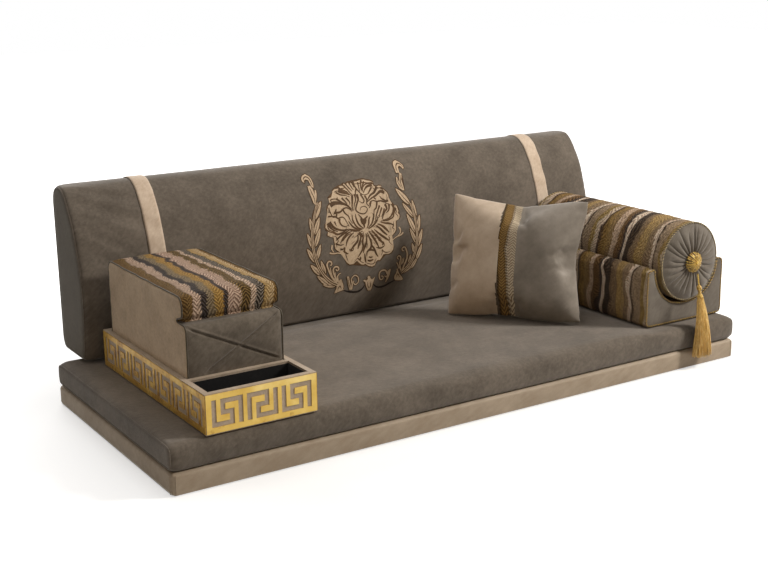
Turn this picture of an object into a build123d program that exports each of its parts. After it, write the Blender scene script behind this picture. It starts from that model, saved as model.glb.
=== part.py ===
from build123d import *
import math
import os

# Majlis floor sofa. All sizes are in millimetres. The origin is the centre of the base's
# footprint on the floor, X runs along the seat, Y from the front to the back, Z up.

# Shared fits and cloth
rest_gap = 0.3
seam_gap = 0.2
overrun = 40
suede_thickness = 2

# Base plinth
base_length = 2000
base_depth = 828
base_height = 60
liner_thickness = 2
liner_inset = 10
base_edge_radius = 12
base_leather = 1.8
base_padding = 6
base_hem = 45
base_underfelt = 2
rail_thickness = 18
deck_thickness = 10
slat_width = 70
slat_thickness = 14
slat_count = 5
block_leg = 60

# Seat mattress
seat_thickness = 77.2
seat_edge_radius = 28
seat_foot_radius = 14
seat_crown = 6
seat_crown_ramp = 110
seat_edge_land = 12
seat_draw = 3
seat_draw_length = 20
seat_piping_radius = 2.5
seat_piping_proud = 1

# Zip fasteners of the two long cushions
zip_tape_width = 26
zip_teeth_width = 6
zip_teeth_proud = 2.2
seat_zip_length = 1400
backrest_zip_length = 1300
backrest_zip_height = 70
slider_length = 14
slider_wall = 1.6
slider_clearance = 0.3
slider_tab_length = 28
slider_tab_width = 7

# Backrest
backrest_inset = 55
backrest_right_inset = 5
backrest_depth = 231
backrest_height = 523
backrest_overhang = 102
backrest_crown = 12
backrest_draw = 4
backrest_draw_length = 30
backrest_foot_radius = 20
backrest_heel_radius = 35
backrest_crest_radius = 50
backrest_brow_radius = 60
backrest_shoulder_radius = 350
backrest_belly_radius = 450
backrest_piping_radius = 2.5
backrest_piping_proud = 1

# Straps and medallion on the backrest
strap_width = 52
strap_thickness = 1.6
strap_foot_gap = 4
left_strap_offset = 272
right_strap_offset = 196
applique_thickness = 1.6
medallion_shift = 22
medallion_height = 443
flower_width = 289
flower_height = 278
petal_width = 62
petal_tier_count = 11
petal_inner_count = 9
petal_slit_width = 4
wreath_half_width = 204
wreath_height = 405
wreath_foot = 219
wreath_stem_width = 8
leaf_length = 56
leaf_width = 17
leaf_pairs = 9
swag_width = 7
scroll_radius = 16
scroll_band = 7
scroll_sides = 10
tulip_width = 30
tulip_height = 46

# Storage tray under the left arm cushion
tray_offset = 103
tray_front_offset = 8
tray_length = 693
tray_width = 324
tray_height = 109
tray_wall = 18
tray_board = 8
tray_bin_depth = 106
tray_divider = 16
fret_thickness = 2
fret_border = 3
fret_margin = 15
fret_line = 13.5
fret_unit_gap = 11
front_fret_units = 3
side_fret_units = 7
lining_thickness = 2
lining_drop = 6

# Arm cushion
arm_side_clearance = 1
arm_end_clearance = 0.8
arm_height = 315
arm_pad_height = 72
arm_nose_setback = 18
arm_front_overhang = 3
arm_notch_depth = 38
arm_notch_gap = 3
arm_crease_radius = 1.2
arm_nose_drop = 12
arm_top_radius = 26
arm_nose_underside_radius = 14
arm_brow_radius = 22
arm_foot_radius = 6
arm_crown = 5
arm_draw = 3
arm_draw_length = 16
arm_cloth = 4
arm_piping_radius = 2.2
arm_piping_proud = 1
pleat_groove_width = 4
pleat_groove_depth = 1.6

# Cradle of the right arm
cradle_right_inset = 4
cradle_width = 339
cradle_front_offset = 60
cradle_length = 640
cradle_height = 193.5
cradle_groove_width = 268
cradle_groove_depth = 125.5
cradle_groove_radius = 117
cradle_groove_offset = 171
cradle_corner_radius = 20
cradle_horn_radius = 8
cradle_foot_radius = 16
cradle_cloth = 3
cradle_draw = 2
cradle_draw_length = 12
cradle_piping_radius = 2.6
cradle_piping_proud = 1.4

# Bolster in the cradle
bolster_radius = 126
bolster_front_offset = 48
bolster_length = 651
bolster_taper = 2.5
bolster_cloth = 2.5
bolster_piping_radius = 2.6
pleat_count = 28
pleat_crown = 15
pleat_dip = 6
pleat_dip_radius = 22
pleat_crown_radius = 64
pleat_backing = 8
pleat_width = 2.6
pleat_depth = 3
pleat_rim_land = 7
button_radius = 34
button_thickness = 20
button_rise = 6
button_cords = 18
button_cord_width = 4
button_cord_depth = 2
button_shank_radius = 3
button_shank_length = 40
shank_sides = 8

# Tassel on the button
tassel_cord_diameter = 5
tassel_cord_length = 37
tassel_head_length = 39
tassel_skirt_length = 192
tassel_lean = 12.3
tassel_knot_radius = 9
tassel_cord_tip_radius = 0.5
tassel_sides = 14
tassel_top_width = 23
tassel_top_depth = 20
tassel_middle_width = 62
tassel_middle_depth = 34
tassel_foot_width = 86
tassel_foot_depth = 40
tassel_foot_swing = 20
tassel_belly_swing = 8
tassel_forward = 21

# Scatter pillow
pillow_width = 456
pillow_height = 406
pillow_thickness = 130
pillow_side_draw = 13
pillow_right_offset = 596
pillow_front_offset = 399
pillow_turn = -51.7
pillow_lean = 15
pillow_cloth = 2
pillow_beige_share = 0.39
pillow_stripe_share = 0.16

arc_chords = 4
flat_tolerance = 0.00001
left = -base_length / 2
front = -base_depth / 2
back = base_depth / 2
seat_bottom = base_height + rest_gap
seat_top = seat_bottom + seat_thickness


def board(x_range, y_range, z_range):
    # A square-edged board between three pairs of faces.
    size = [b - a for a, b in (x_range, y_range, z_range)]
    corner = (x_range[0], y_range[0], z_range[0])
    return Pos(*corner) * Box(*size, align=(Align.MIN, Align.MIN, Align.MIN))


def soft_outline(corners, inset=0):
    # A closed face from corners (u, v, radius) listed counter-clockwise, drawn in by inset.
    # Each radius becomes a run of even chords, a radius of zero leaves the corner sharp.
    places = [Vector(u, v) for u, v, _ in corners]
    after = [(b - a).normalized() for a, b in zip(places, places[1:] + places[:1])]
    before = after[-1:] + after[:-1]
    points = []
    for place, (_, _, radius), come, go in zip(places, corners, before, after):
        turn = come.X * go.Y - come.Y * go.X
        inward = Vector(-come.Y - go.Y, come.X + go.X)
        corner = place + inward * (inset / (1 + come.dot(go)))
        if not radius:
            points.append(corner)
            continue
        side = math.copysign(1, turn)
        radius = max(radius - side * inset, suede_thickness / 2)
        full_turn = 2 * math.atan2(abs(turn), 1 + come.dot(go))
        centre = corner - come * (radius * math.tan(full_turn / 2))
        centre += Vector(-come.Y, come.X) * (side * radius)
        heading = math.atan2(-side * come.X, side * come.Y)
        for i in range(arc_chords + 1):
            angle = heading + side * full_turn * i / arc_chords
            points.append(centre + Vector(math.cos(angle), math.sin(angle)) * radius)
    return make_face(Polyline(points, close=True))


def across_x(x):
    # The cross plane at x, with Y and Z as its own axes.
    return Plane.YZ.offset(x)


def across_y(y):
    # The cross plane at y, with X and Z as its own axes.
    return Plane.XZ.offset(-y)


def stuffed(plane_at, outline_at, stations, inset):
    # A soft form through its stations (place, crown share, draw), drawn in by inset.
    sections = [
        plane_at(place) * soft_outline(outline_at(crown), inset + draw)
        for place, crown, draw in stations
    ]
    return loft(sections, ruled=True)


def skinned(rings):
    # A closed form of flat facets through rings of equally many points, capped at both ends.
    faces = [make_face(Polyline(ring, close=True)) for ring in (rings[0], rings[-1])]
    for lower, upper in zip(rings, rings[1:]):
        for a, b, c, d in zip(lower, lower[1:] + lower[:1], upper[1:] + upper[:1], upper):
            twist = abs((b - a).cross(d - a).normalized().dot(c - a))
            corners = [(a, b, c), (a, c, d)] if twist > flat_tolerance else [(a, b, c, d)]
            faces += [make_face(Polyline(loop, close=True)) for loop in corners]
    return Solid(Shell([face.faces()[0] for face in faces]))


def slab(plane_at, outline, start, end, inset):
    # A flat panel of the outline between two cross planes.
    face = plane_at(start) * soft_outline(outline, inset)
    direction = (plane_at(end).origin - plane_at(start).origin).normalized()
    return extrude(face, abs(end - start), dir=direction)


def ring_of_piping(plane_at, outline, place, inset, radius):
    # A welt cord round the outline, at one cross plane, mitred where the outline turns.
    reaches = (-radius, 0, radius)
    outer = [plane_at(place + reach) * soft_outline(outline, inset + abs(reach) - radius)
             for reach in reaches]
    inner = [plane_at(place + reach) * soft_outline(outline, inset - abs(reach) + radius)
             for reach in reaches]
    return loft(outer, ruled=True) - loft(inner, ruled=True)


def cushion_ends(plane_at, outline, span, seam, cloth, radius, draw, proud):
    # The two end panels of a boxed cushion and the two welts that they are sewn with.
    panels, welts = [], []
    for end, inward in ((span[0], 1), (span[1], -1)):
        inner = end + inward * (seam - seam_gap)
        outer = inner - inward * cloth
        recess = draw + 2 * radius - proud + seam_gap
        panels.append(slab(plane_at, outline, outer, inner, recess))
        middle = end + inward * radius
        welts.append(ring_of_piping(plane_at, outline, middle, draw + radius - proud, radius))
    return Compound(children=panels), Compound(children=welts)


def drawn_stations(span, draw, draw_length, crowns):
    # Stations of a cushion along its length: drawn in at both end seams, with the crown
    # given as (share of the length, share of the crown).
    start, end = span
    middle = [(start + (end - start) * along, crown, 0) for along, crown in crowns]
    first = [(start, 0, draw), (start + draw_length, 0, 0)]
    last = [(end - draw_length, 0, 0), (end, 0, draw)]
    return first + middle + last


# Base plinth

deck_top = base_height - base_leather - base_padding - 2 * rest_gap
hem_top = liner_thickness + base_leather
frame_bottom = hem_top + base_underfelt + 2 * rest_gap
frame_reach = base_leather + base_padding + 2 * rest_gap
frame_x = (left + frame_reach, -left - frame_reach)
frame_y = (front + frame_reach, back - frame_reach)
rail_z = (frame_bottom, deck_top - deck_thickness)
inner_y = (frame_y[0] + rail_thickness, frame_y[1] - rail_thickness)


def plinth_form(inset):
    # The upholstered plinth, softened at its upright and its top edges, drawn in by inset.
    corners = [(left, front, base_edge_radius), (-left, front, base_edge_radius),
               (-left, back, base_edge_radius), (left, back, base_edge_radius)]
    sections = [Pos(0, 0, liner_thickness + inset) * soft_outline(corners, inset)]
    radius = base_edge_radius - inset
    for i in range(arc_chords):
        angle = math.pi / 2 * i / arc_chords
        height = base_height - inset - radius * (1 - math.sin(angle))
        drawn = inset + radius * (1 - math.cos(angle))
        sections.append(Pos(0, 0, height) * soft_outline(corners, drawn))
    top = soft_outline(corners, inset + radius * (1 - math.sin(math.pi / 2 / arc_chords)))
    sections.append(Pos(0, 0, base_height - inset) * top)
    return loft(sections, ruled=True)


def crossing_places():
    # The X places of the cross slats between the side rails.
    pitch = (frame_x[1] - frame_x[0]) / (slat_count + 1)
    return [frame_x[0] + pitch * (i + 1) for i in range(slat_count)]


def corner_blocks():
    # Wedges glued into the four inside corners of the frame.
    wedge = make_face(Polyline((0, 0), (block_leg, 0), (0, block_leg), close=True))
    block = extrude(wedge, rail_z[1] - rail_z[0])
    inner_x = (frame_x[0] + rail_thickness, frame_x[1] - rail_thickness)
    return [
        Pos(inner_x[0], inner_y[0], rail_z[0]) * block,
        Pos(inner_x[1], inner_y[0], rail_z[0]) * Rot(0, 0, 90) * block,
        Pos(inner_x[1], inner_y[1], rail_z[0]) * Rot(0, 0, 180) * block,
        Pos(inner_x[0], inner_y[1], rail_z[0]) * Rot(0, 0, 270) * block,
    ]


def make_base():
    parts = {
        "base_front_rail": board(frame_x, (frame_y[0], inner_y[0]), rail_z),
        "base_back_rail": board(frame_x, (inner_y[1], frame_y[1]), rail_z),
    }
    left_rail = board((frame_x[0], frame_x[0] + rail_thickness), inner_y, rail_z)
    right_rail = board((frame_x[1] - rail_thickness, frame_x[1]), inner_y, rail_z)
    parts["base_side_rails"] = Compound(children=[left_rail, right_rail])
    parts["base_corner_blocks"] = Compound(children=corner_blocks())
    slat_z = (rail_z[1] - slat_thickness, rail_z[1])
    parts["base_cross_slats"] = Compound(children=[
        board((x - slat_width / 2, x + slat_width / 2), inner_y, slat_z)
        for x in crossing_places()
    ])
    parts["base_deck_board"] = board(frame_x, frame_y, (rail_z[1], deck_top))
    hollow = board(
        (frame_x[0] - rest_gap, frame_x[1] + rest_gap),
        (frame_y[0] - rest_gap, frame_y[1] + rest_gap),
        (frame_bottom - rest_gap, deck_top + rest_gap),
    )
    opening = board(
        (left + base_hem, -left - base_hem),
        (front + base_hem, back - base_hem),
        (0, frame_bottom),
    )
    parts["base_foam_wrap"] = plinth_form(base_leather + rest_gap) - hollow - opening
    parts["base_cover"] = plinth_form(0) - plinth_form(base_leather) - opening
    parts["base_bottom_liner"] = board(
        (left + liner_inset, -left - liner_inset),
        (front + liner_inset, back - liner_inset),
        (0, liner_thickness),
    )
    return parts


# Seat mattress

seat_span = (left, -left)
tray_right = left + tray_offset + tray_width
cradle_left = -left - cradle_right_inset - cradle_width
seat_seam = 2 * seat_piping_radius + seam_gap
backrest_back = back + backrest_overhang
backrest_front = backrest_back - backrest_depth


def seat_outline(crown):
    # The mattress in cross-section: a softly crowned top between rounded long edges.
    rise = seat_top + seat_crown * crown
    flat_front = front + seat_edge_radius + seat_edge_land
    ramp_front = flat_front + seat_crown_ramp
    ramp_back = backrest_front - seat_crown_ramp
    return [
        (front, seat_bottom, seat_foot_radius),
        (back, seat_bottom, seat_foot_radius),
        (back, seat_top, seat_edge_radius),
        (backrest_front, seat_top, 0),
        (ramp_back, rise, 0),
        (ramp_front, rise, 0),
        (flat_front, seat_top, 0),
        (front, seat_top, seat_edge_radius),
    ]


def seat_stations():
    # The crown rises only on the open seat, between the tray and the cradle.
    return [
        (seat_span[0], 0, seat_draw),
        (seat_span[0] + seat_draw_length, 0, 0),
        (tray_right + rest_gap, 0, 0),
        (tray_right + seat_crown_ramp, 1, 0),
        (cradle_left - seat_crown_ramp, 1, 0),
        (cradle_left - rest_gap, 0, 0),
        (seat_span[1] - seat_draw_length, 0, 0),
        (seat_span[1], 0, seat_draw),
    ]


def zip_tape(x_middle, length, y, z, cloth):
    # A closed zip in a slot of the cover's back face: the tapes with the row of teeth.
    x_range = (x_middle - length / 2, x_middle + length / 2)
    half = zip_tape_width / 2
    tape = board(x_range, (y - cloth, y), (z - half, z + half))
    teeth = board(x_range, (y, y + zip_teeth_proud),
                  (z - zip_teeth_width / 2, z + zip_teeth_width / 2))
    return tape + teeth


def zip_slot(x_middle, length, y, z, cloth):
    # The slot in the cover that the tape is sewn into.
    half = zip_tape_width / 2 + seam_gap
    reach = length / 2 + seam_gap
    x_range = (x_middle - reach, x_middle + reach)
    return board(x_range, (y - cloth - overrun, y + overrun), (z - half, z + half))


def zip_slider(x, y, z):
    # The slider's body over the teeth, with its pull tab hanging flat against the cover.
    half = zip_teeth_width / 2 + slider_clearance
    inner = y + zip_teeth_proud + slider_clearance
    x_range = (x - slider_length / 2, x + slider_length / 2)
    body = board(x_range, (y + slider_clearance, inner + slider_wall),
                 (z - half - slider_wall, z + half + slider_wall))
    body -= board(x_range, (y, inner), (z - half, z + half))
    tab_top = z - half - slider_wall
    tab = board((x - slider_tab_width / 2, x + slider_tab_width / 2),
                (inner, inner + slider_wall),
                (tab_top - slider_tab_length, tab_top))
    return body + fillet(tab.edges().filter_by(Axis.Y).sort_by(Axis.Z)[:2], slider_wall)


def make_seat():
    stations = seat_stations()
    outer = stuffed(across_x, seat_outline, stations, 0)
    inner = stuffed(across_x, seat_outline, stations, suede_thickness)
    trim = board((left + seat_seam, -left - seat_seam), (front - overrun, back + overrun),
                 (0, seat_top + overrun))
    core_trim = board((left + seat_seam + rest_gap, -left - seat_seam - rest_gap),
                      (front - overrun, back + overrun), (0, seat_top + overrun))
    zip_height = seat_bottom + seat_thickness / 2
    slot = zip_slot(0, seat_zip_length, back, zip_height, suede_thickness)
    core = stuffed(across_x, seat_outline, stations, suede_thickness + rest_gap)
    panels, welts = cushion_ends(
        across_x, seat_outline(0), seat_span, seat_seam, suede_thickness,
        seat_piping_radius, seat_draw, seat_piping_proud)
    slider_x = -seat_zip_length / 2 + slider_length
    return {
        "seat_foam_core": core & core_trim,
        "seat_cover": (outer & trim) - inner - slot,
        "seat_end_panels": panels,
        "seat_piping": welts,
        "seat_zip": zip_tape(0, seat_zip_length, back, zip_height, suede_thickness),
        "seat_zip_slider": zip_slider(slider_x, back, zip_height),
    }


# Backrest

backrest_span = (left + backrest_inset, -left - backrest_right_inset)
backrest_bottom = seat_top + rest_gap
backrest_seam = 2 * backrest_piping_radius + seam_gap
foot_share = 0.85
belly_height_share = 0.41
shoulder_share = 0.73
shoulder_height_share = 0.81
brow_share = 0.42
crest_height_share = 0.99
shoulder_crown_share = 0.6
backrest_crown_shares = [(0.1, 0.36), (0.25, 0.75), (0.5, 1), (0.75, 0.75), (0.9, 0.36)]


def backrest_outline(crown):
    # The backrest in cross-section: an upright back, a belly that leans forward over the
    # seat and a shoulder that falls back to the crest.
    bulge = backrest_crown * crown
    top = backrest_bottom + backrest_height
    return [
        (backrest_back - foot_share * backrest_depth, backrest_bottom, backrest_foot_radius),
        (backrest_back, backrest_bottom, backrest_heel_radius),
        (backrest_back, backrest_bottom + crest_height_share * backrest_height,
         backrest_crest_radius),
        (backrest_back - brow_share * backrest_depth, top, backrest_brow_radius),
        (backrest_back - shoulder_share * backrest_depth - shoulder_crown_share * bulge,
         backrest_bottom + shoulder_height_share * backrest_height,
         backrest_shoulder_radius),
        (backrest_front - bulge, backrest_bottom + belly_height_share * backrest_height,
         backrest_belly_radius),
    ]


def backrest_form(inset):
    stations = drawn_stations(backrest_span, backrest_draw, backrest_draw_length,
                              backrest_crown_shares)
    return stuffed(across_x, backrest_outline, stations, inset)


def on_backrest(thickness):
    # A layer of cloth that follows the backrest's surface all round.
    return backrest_form(-seam_gap - thickness) - backrest_form(-seam_gap)


def make_straps(layer):
    # Two bands that run up the front, over the crest and down the back.
    bands = []
    for x in (left + left_strap_offset, -left - right_strap_offset - strap_width):
        bands.append(layer & board(
            (x, x + strap_width),
            (backrest_front - overrun, backrest_back + overrun),
            (backrest_bottom + strap_foot_gap, backrest_bottom + backrest_height + overrun),
        ))
    return Compound(children=[s for band in bands for s in band.solids()])


# Shares of the medallion: the stem's places are given across the half width and up the
# wreath's height, the leaves' lengths in turn from the foot up.
slit_reach_share = 0.72
petal_edge_shares = [(0.5, 0.7), (0.42, 0.86), (0.28, 0.95), (0.1, 1)]
petal_notch_share = 0.09
leaf_belly_share = 0.45
flower_heart_share = 0.2
stem_sweep_shares = [
    (0.64, 0.03), (0.87, 0.14), (0.98, 0.27), (1, 0.4), (0.965, 0.52), (0.91, 0.64),
    (0.82, 0.745), (0.8, 0.83), (0.84, 0.91),
]
leaf_fall_shares = [0.8, 0.95, 1, 1, 1, 0.95, 0.9, 0.8, 0.6]
scroll_place_shares = [(0.31, 0.1), (0.66, 0.24)]
swag_share_from = 0.12
swag_share_to = 0.55
swag_height_share = 0.03
leaf_open_angle = 24
tip_leaf_share = 0.85


def pointed_leaf(length, width, lean):
    # A leaf in outline from its foot at the origin along +X, bent towards +Y by lean.
    middle, shift = length * leaf_belly_share, lean * leaf_belly_share
    return make_face(Polyline((0, 0), (middle, shift - width / 2), (length, lean),
                              (middle, shift + width / 2), close=True))


def spiral_scroll(radius, band):
    # A small curl: a hooked band of three quarters of a turn.
    ring = RegularPolygon(radius, scroll_sides) - RegularPolygon(radius - band, scroll_sides)
    return ring - Pos(radius, -radius) * Rectangle(2 * radius, 2 * radius)


def petal(length, width):
    # One petal from the flower's heart along +Y, with a ragged end that is split in two.
    right = [(width * across, length * along) for across, along in petal_edge_shares]
    left_side = [(-x, y) for x, y in right[::-1]]
    notch = (0, length * (1 - petal_notch_share))
    return make_face(Polyline([(0, 0)] + right + [notch] + left_side, close=True))


def petal_slits(length, width, count):
    # The dark lines between the petals of one tier.
    slit = Pos(0, length * (1 + flower_heart_share) / 2) * Rectangle(
        width, length * (1 - flower_heart_share))
    return [Rot(0, 0, 360 / count * i) * slit for i in range(count)]


def flower_outline():
    # The full-blown flower: an outer tier of petals, cut by slits, and an inner tier.
    outline = Sketch()
    half = flower_width / 2
    for i in range(petal_tier_count):
        outline += Rot(0, 0, 360 / petal_tier_count * i) * petal(half, petal_width)
    turn = 180 / petal_tier_count
    for slit in petal_slits(half * slit_reach_share, petal_slit_width, petal_inner_count):
        outline -= Rot(0, 0, turn) * slit
    stretch = flower_height / flower_width
    return scale(outline, by=(1, stretch, 1))


def stem_points(side):
    # The centreline of one branch of the wreath, from its foot up to its tip.
    return [(side * along * wreath_half_width, up * wreath_height)
            for along, up in stem_sweep_shares]


def branch_outline(side):
    # A laurel branch: a bent stem with a leaf on each side at every step and a tip leaf.
    line = Spline(stem_points(side))
    outline = trace(Polyline([line @ (i / leaf_pairs) for i in range(leaf_pairs + 1)]),
                    wreath_stem_width)
    for i in range(leaf_pairs):
        along = (i + 1) / (leaf_pairs + 1)
        place, heading = line @ along, line % along
        angle = math.degrees(math.atan2(heading.Y, heading.X))
        length = leaf_length * leaf_fall_shares[i]
        for turn in (leaf_open_angle, -leaf_open_angle):
            leaf = pointed_leaf(length, leaf_width, 0)
            outline += Pos(place.X, place.Y) * Rot(0, 0, angle + turn) * leaf
    tip, heading = line @ 1, line % 1
    angle = math.degrees(math.atan2(heading.Y, heading.X))
    curl = pointed_leaf(leaf_length * tip_leaf_share, leaf_width, -side * leaf_width)
    return outline + Pos(tip.X, tip.Y) * Rot(0, 0, angle) * curl


def wreath_ornaments():
    # The bottom row: a tulip in the middle, two scrolls and two swags beside it.
    tulip = Rot(0, 0, 90) * pointed_leaf(tulip_height, tulip_width, 0)
    tulip -= Pos(0, tulip_height) * Rectangle(petal_slit_width, tulip_height / 2)
    pieces = [tulip]
    for side in (-1, 1):
        for along, up in scroll_place_shares:
            curl = spiral_scroll(scroll_radius, scroll_band)
            if side < 0:
                curl = mirror(curl, about=Plane.YZ)
            place = Pos(side * along * wreath_half_width, up * wreath_height)
            pieces.append(place * curl)
        pieces.append(swag_outline(side))
    return pieces


def swag_outline(side):
    # A hanging line between the tulip and the foot of a branch.
    height = wreath_height * swag_height_share
    start = (side * swag_share_from * wreath_half_width, height)
    end = (side * swag_share_to * wreath_half_width, height)
    middle = ((start[0] + end[0]) / 2, height - swag_width)
    return trace(Polyline(start, middle, end), swag_width)


def stitched_on(layer, outline, height):
    # The part of the cloth layer inside an outline drawn on the backrest's front.
    x = medallion_shift
    y = backrest_front - overrun
    face = Plane(origin=(x, y, height), x_dir=(1, 0, 0), z_dir=(0, -1, 0)) * outline
    cutter = extrude(face, backrest_depth / 2 + overrun, dir=(0, 1, 0))
    return [s for s in (layer & cutter).solids()]


def make_medallion(layer):
    flower = stitched_on(layer, flower_outline(), medallion_height)
    wreath = []
    for outline in [branch_outline(-1), branch_outline(1)] + wreath_ornaments():
        wreath += stitched_on(layer, outline, wreath_foot)
    return Compound(children=flower), Compound(children=wreath)


def make_backrest():
    outer = backrest_form(0)
    inner = backrest_form(suede_thickness)
    core = backrest_form(suede_thickness + rest_gap)
    y_range = (backrest_front - overrun, backrest_back + overrun)
    z_range = (0, backrest_bottom + backrest_height + overrun)
    trim = board((backrest_span[0] + backrest_seam, backrest_span[1] - backrest_seam),
                 y_range, z_range)
    core_trim = board((backrest_span[0] + backrest_seam + rest_gap,
                       backrest_span[1] - backrest_seam - rest_gap), y_range, z_range)
    zip_x = sum(backrest_span) / 2
    zip_height = backrest_bottom + backrest_zip_height
    slot = zip_slot(zip_x, backrest_zip_length, backrest_back, zip_height, suede_thickness)
    panels, welts = cushion_ends(
        across_x, backrest_outline(0), backrest_span, backrest_seam, suede_thickness,
        backrest_piping_radius, backrest_draw, backrest_piping_proud)
    strap_layer = on_backrest(strap_thickness)
    applique_layer = on_backrest(applique_thickness)
    flower, wreath = make_medallion(applique_layer)
    slider_x = zip_x - backrest_zip_length / 2 + slider_length
    return {
        "backrest_foam_core": core & core_trim,
        "backrest_cover": (outer & trim) - inner - slot,
        "backrest_end_panels": panels,
        "backrest_piping": welts,
        "backrest_straps": make_straps(strap_layer),
        "medallion_flower": flower,
        "medallion_wreath": wreath,
        "backrest_zip": zip_tape(zip_x, backrest_zip_length, backrest_back, zip_height,
                                 suede_thickness),
        "backrest_zip_slider": zip_slider(slider_x, backrest_back, zip_height),
    }


# Storage tray

tray_x = (left + tray_offset, left + tray_offset + tray_width)
tray_y = (front + tray_front_offset, front + tray_front_offset + tray_length)
tray_bottom = seat_top + rest_gap
tray_top = tray_bottom + tray_height
tray_face = fret_thickness
tray_bay_x = (tray_x[0] + tray_wall, tray_x[1] - tray_wall)
bin_y = (tray_y[0] + tray_wall, tray_y[0] + tray_wall + tray_bin_depth)
divider_y = (bin_y[1], bin_y[1] + tray_divider)
bay_y = (divider_y[1], tray_y[1] - tray_wall)


def key_unit(width, height, flipped):
    # One key of the meander as a band: it runs down, along, up and back, up, along, down.
    columns = [fret_line / 2 + (width - fret_line) / 3 * i for i in range(4)]
    rows = [fret_line / 2 + (height - fret_line) / 2 * i for i in range(3)]
    if flipped:
        rows = rows[::-1]
    turns = [(0, 2), (0, 0), (2, 0), (2, 1), (1, 1), (1, 2), (3, 2), (3, 0)]
    places = [(columns[i], rows[j]) for i, j in turns]
    band = Sketch()
    for (x0, y0), (x1, y1) in zip(places, places[1:]):
        run = Rectangle(abs(x1 - x0) + fret_line, abs(y1 - y0) + fret_line)
        band += Pos((x0 + x1) / 2, (y0 + y1) / 2) * run
    return band


def fret_face(length, units):
    # A plate of the given length with a row of keys cut through it, from its lower left.
    height = tray_height - 2 * fret_border
    plate = Rectangle(length, height, align=(Align.MIN, Align.MIN))
    unit_width = (length - 2 * fret_margin - (units - 1) * fret_unit_gap) / units
    for i in range(units):
        x = fret_margin + i * (unit_width + fret_unit_gap)
        key = key_unit(unit_width, height - 2 * fret_margin, i % 2 == 1)
        plate -= Pos(x, fret_margin) * key
    return plate


def make_frets():
    z = tray_bottom + fret_border
    front_length = tray_width - 2 * fret_border
    side_length = tray_length - 2 * fret_border
    front_plane = Plane(origin=(tray_x[0] + fret_border, tray_y[0] + fret_thickness, z),
                        x_dir=(1, 0, 0), z_dir=(0, -1, 0))
    left_plane = Plane(origin=(tray_x[0] + fret_thickness, tray_y[1] - fret_border, z),
                       x_dir=(0, -1, 0), z_dir=(-1, 0, 0))
    right_plane = Plane(origin=(tray_x[1] - fret_thickness, tray_y[0] + fret_border, z),
                        x_dir=(0, 1, 0), z_dir=(1, 0, 0))
    side = fret_face(side_length, side_fret_units)
    return {
        "tray_front_fret": extrude(front_plane * fret_face(front_length, front_fret_units),
                                   fret_thickness),
        "tray_left_fret": extrude(left_plane * side, fret_thickness),
        "tray_right_fret": extrude(right_plane * side, fret_thickness),
    }


def make_tray():
    wall_z = (tray_bottom + tray_board, tray_top)
    outer_x = (tray_x[0] + tray_face, tray_x[1] - tray_face)
    outer_y = (tray_y[0] + tray_face, tray_y[1])
    parts = {
        "tray_bottom_board": board(outer_x, outer_y, (tray_bottom, wall_z[0])),
        "tray_left_panel": board((outer_x[0], tray_bay_x[0]), outer_y, wall_z),
        "tray_right_panel": board((tray_bay_x[1], outer_x[1]), outer_y, wall_z),
        "tray_front_panel": board(tray_bay_x, (outer_y[0], bin_y[0]), wall_z),
        "tray_back_panel": board(tray_bay_x, (bay_y[1], outer_y[1]), wall_z),
        "tray_divider": board(tray_bay_x, divider_y, wall_z),
    }
    lining_x = (tray_bay_x[0] + rest_gap, tray_bay_x[1] - rest_gap)
    lining_y = (bin_y[0] + rest_gap, bin_y[1] - rest_gap)
    lining_z = (wall_z[0], tray_top - lining_drop)
    hollow = board(
        (lining_x[0] + lining_thickness, lining_x[1] - lining_thickness),
        (lining_y[0] + lining_thickness, lining_y[1] - lining_thickness),
        (lining_z[0] + lining_thickness, lining_z[1] + overrun),
    )
    parts["tray_bin_lining"] = board(lining_x, lining_y, lining_z) - hollow
    parts.update(make_frets())
    return parts


# Arm cushion in the tray

arm_span = (tray_bay_x[0] + arm_side_clearance, tray_bay_x[1] - arm_side_clearance)
arm_bottom = tray_bottom + tray_board + rest_gap
arm_top = arm_bottom + arm_height
arm_seam = 2 * arm_piping_radius + seam_gap
arm_y = (bay_y[0] + arm_end_clearance, bay_y[1] - arm_end_clearance)
arm_crown_shares = [(0.25, 0.75), (0.5, 1), (0.75, 0.75)]


def arm_outline(crown):
    # The arm cushion from the side: a block with a pad on top, whose rounded nose stands
    # over a creased notch above the front.
    top = arm_top + arm_crown * crown
    shelf = arm_top - arm_pad_height
    nose = arm_y[0] + arm_nose_setback
    crease = nose + arm_notch_depth
    return [
        (arm_y[0], arm_bottom, arm_foot_radius),
        (arm_y[1], arm_bottom, arm_foot_radius),
        (arm_y[1] - arm_front_overhang, top, arm_top_radius),
        (nose, top, arm_top_radius),
        (nose, shelf + arm_nose_drop, arm_nose_underside_radius),
        (crease, shelf + arm_notch_gap, arm_crease_radius),
        (crease, shelf, arm_crease_radius),
        (arm_y[0] - arm_front_overhang, shelf, arm_brow_radius),
        (arm_y[0], tray_top, arm_brow_radius),
    ]


def pleat_grooves():
    # The crossed pleats sewn into the arm cushion's front.
    x_middle = sum(arm_span) / 2
    z_range = (tray_top, arm_top - arm_pad_height - arm_brow_radius)
    width = arm_span[1] - arm_span[0] - 2 * arm_seam
    height = z_range[1] - z_range[0]
    angle = math.degrees(math.atan2(height, width))
    y = arm_y[0] - arm_front_overhang
    place = Pos(x_middle, y, sum(z_range) / 2)
    groove = Box(math.hypot(width, height), 2 * pleat_groove_depth, pleat_groove_width)
    return [place * Rot(0, turn, 0) * groove for turn in (angle, -angle)]


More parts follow.
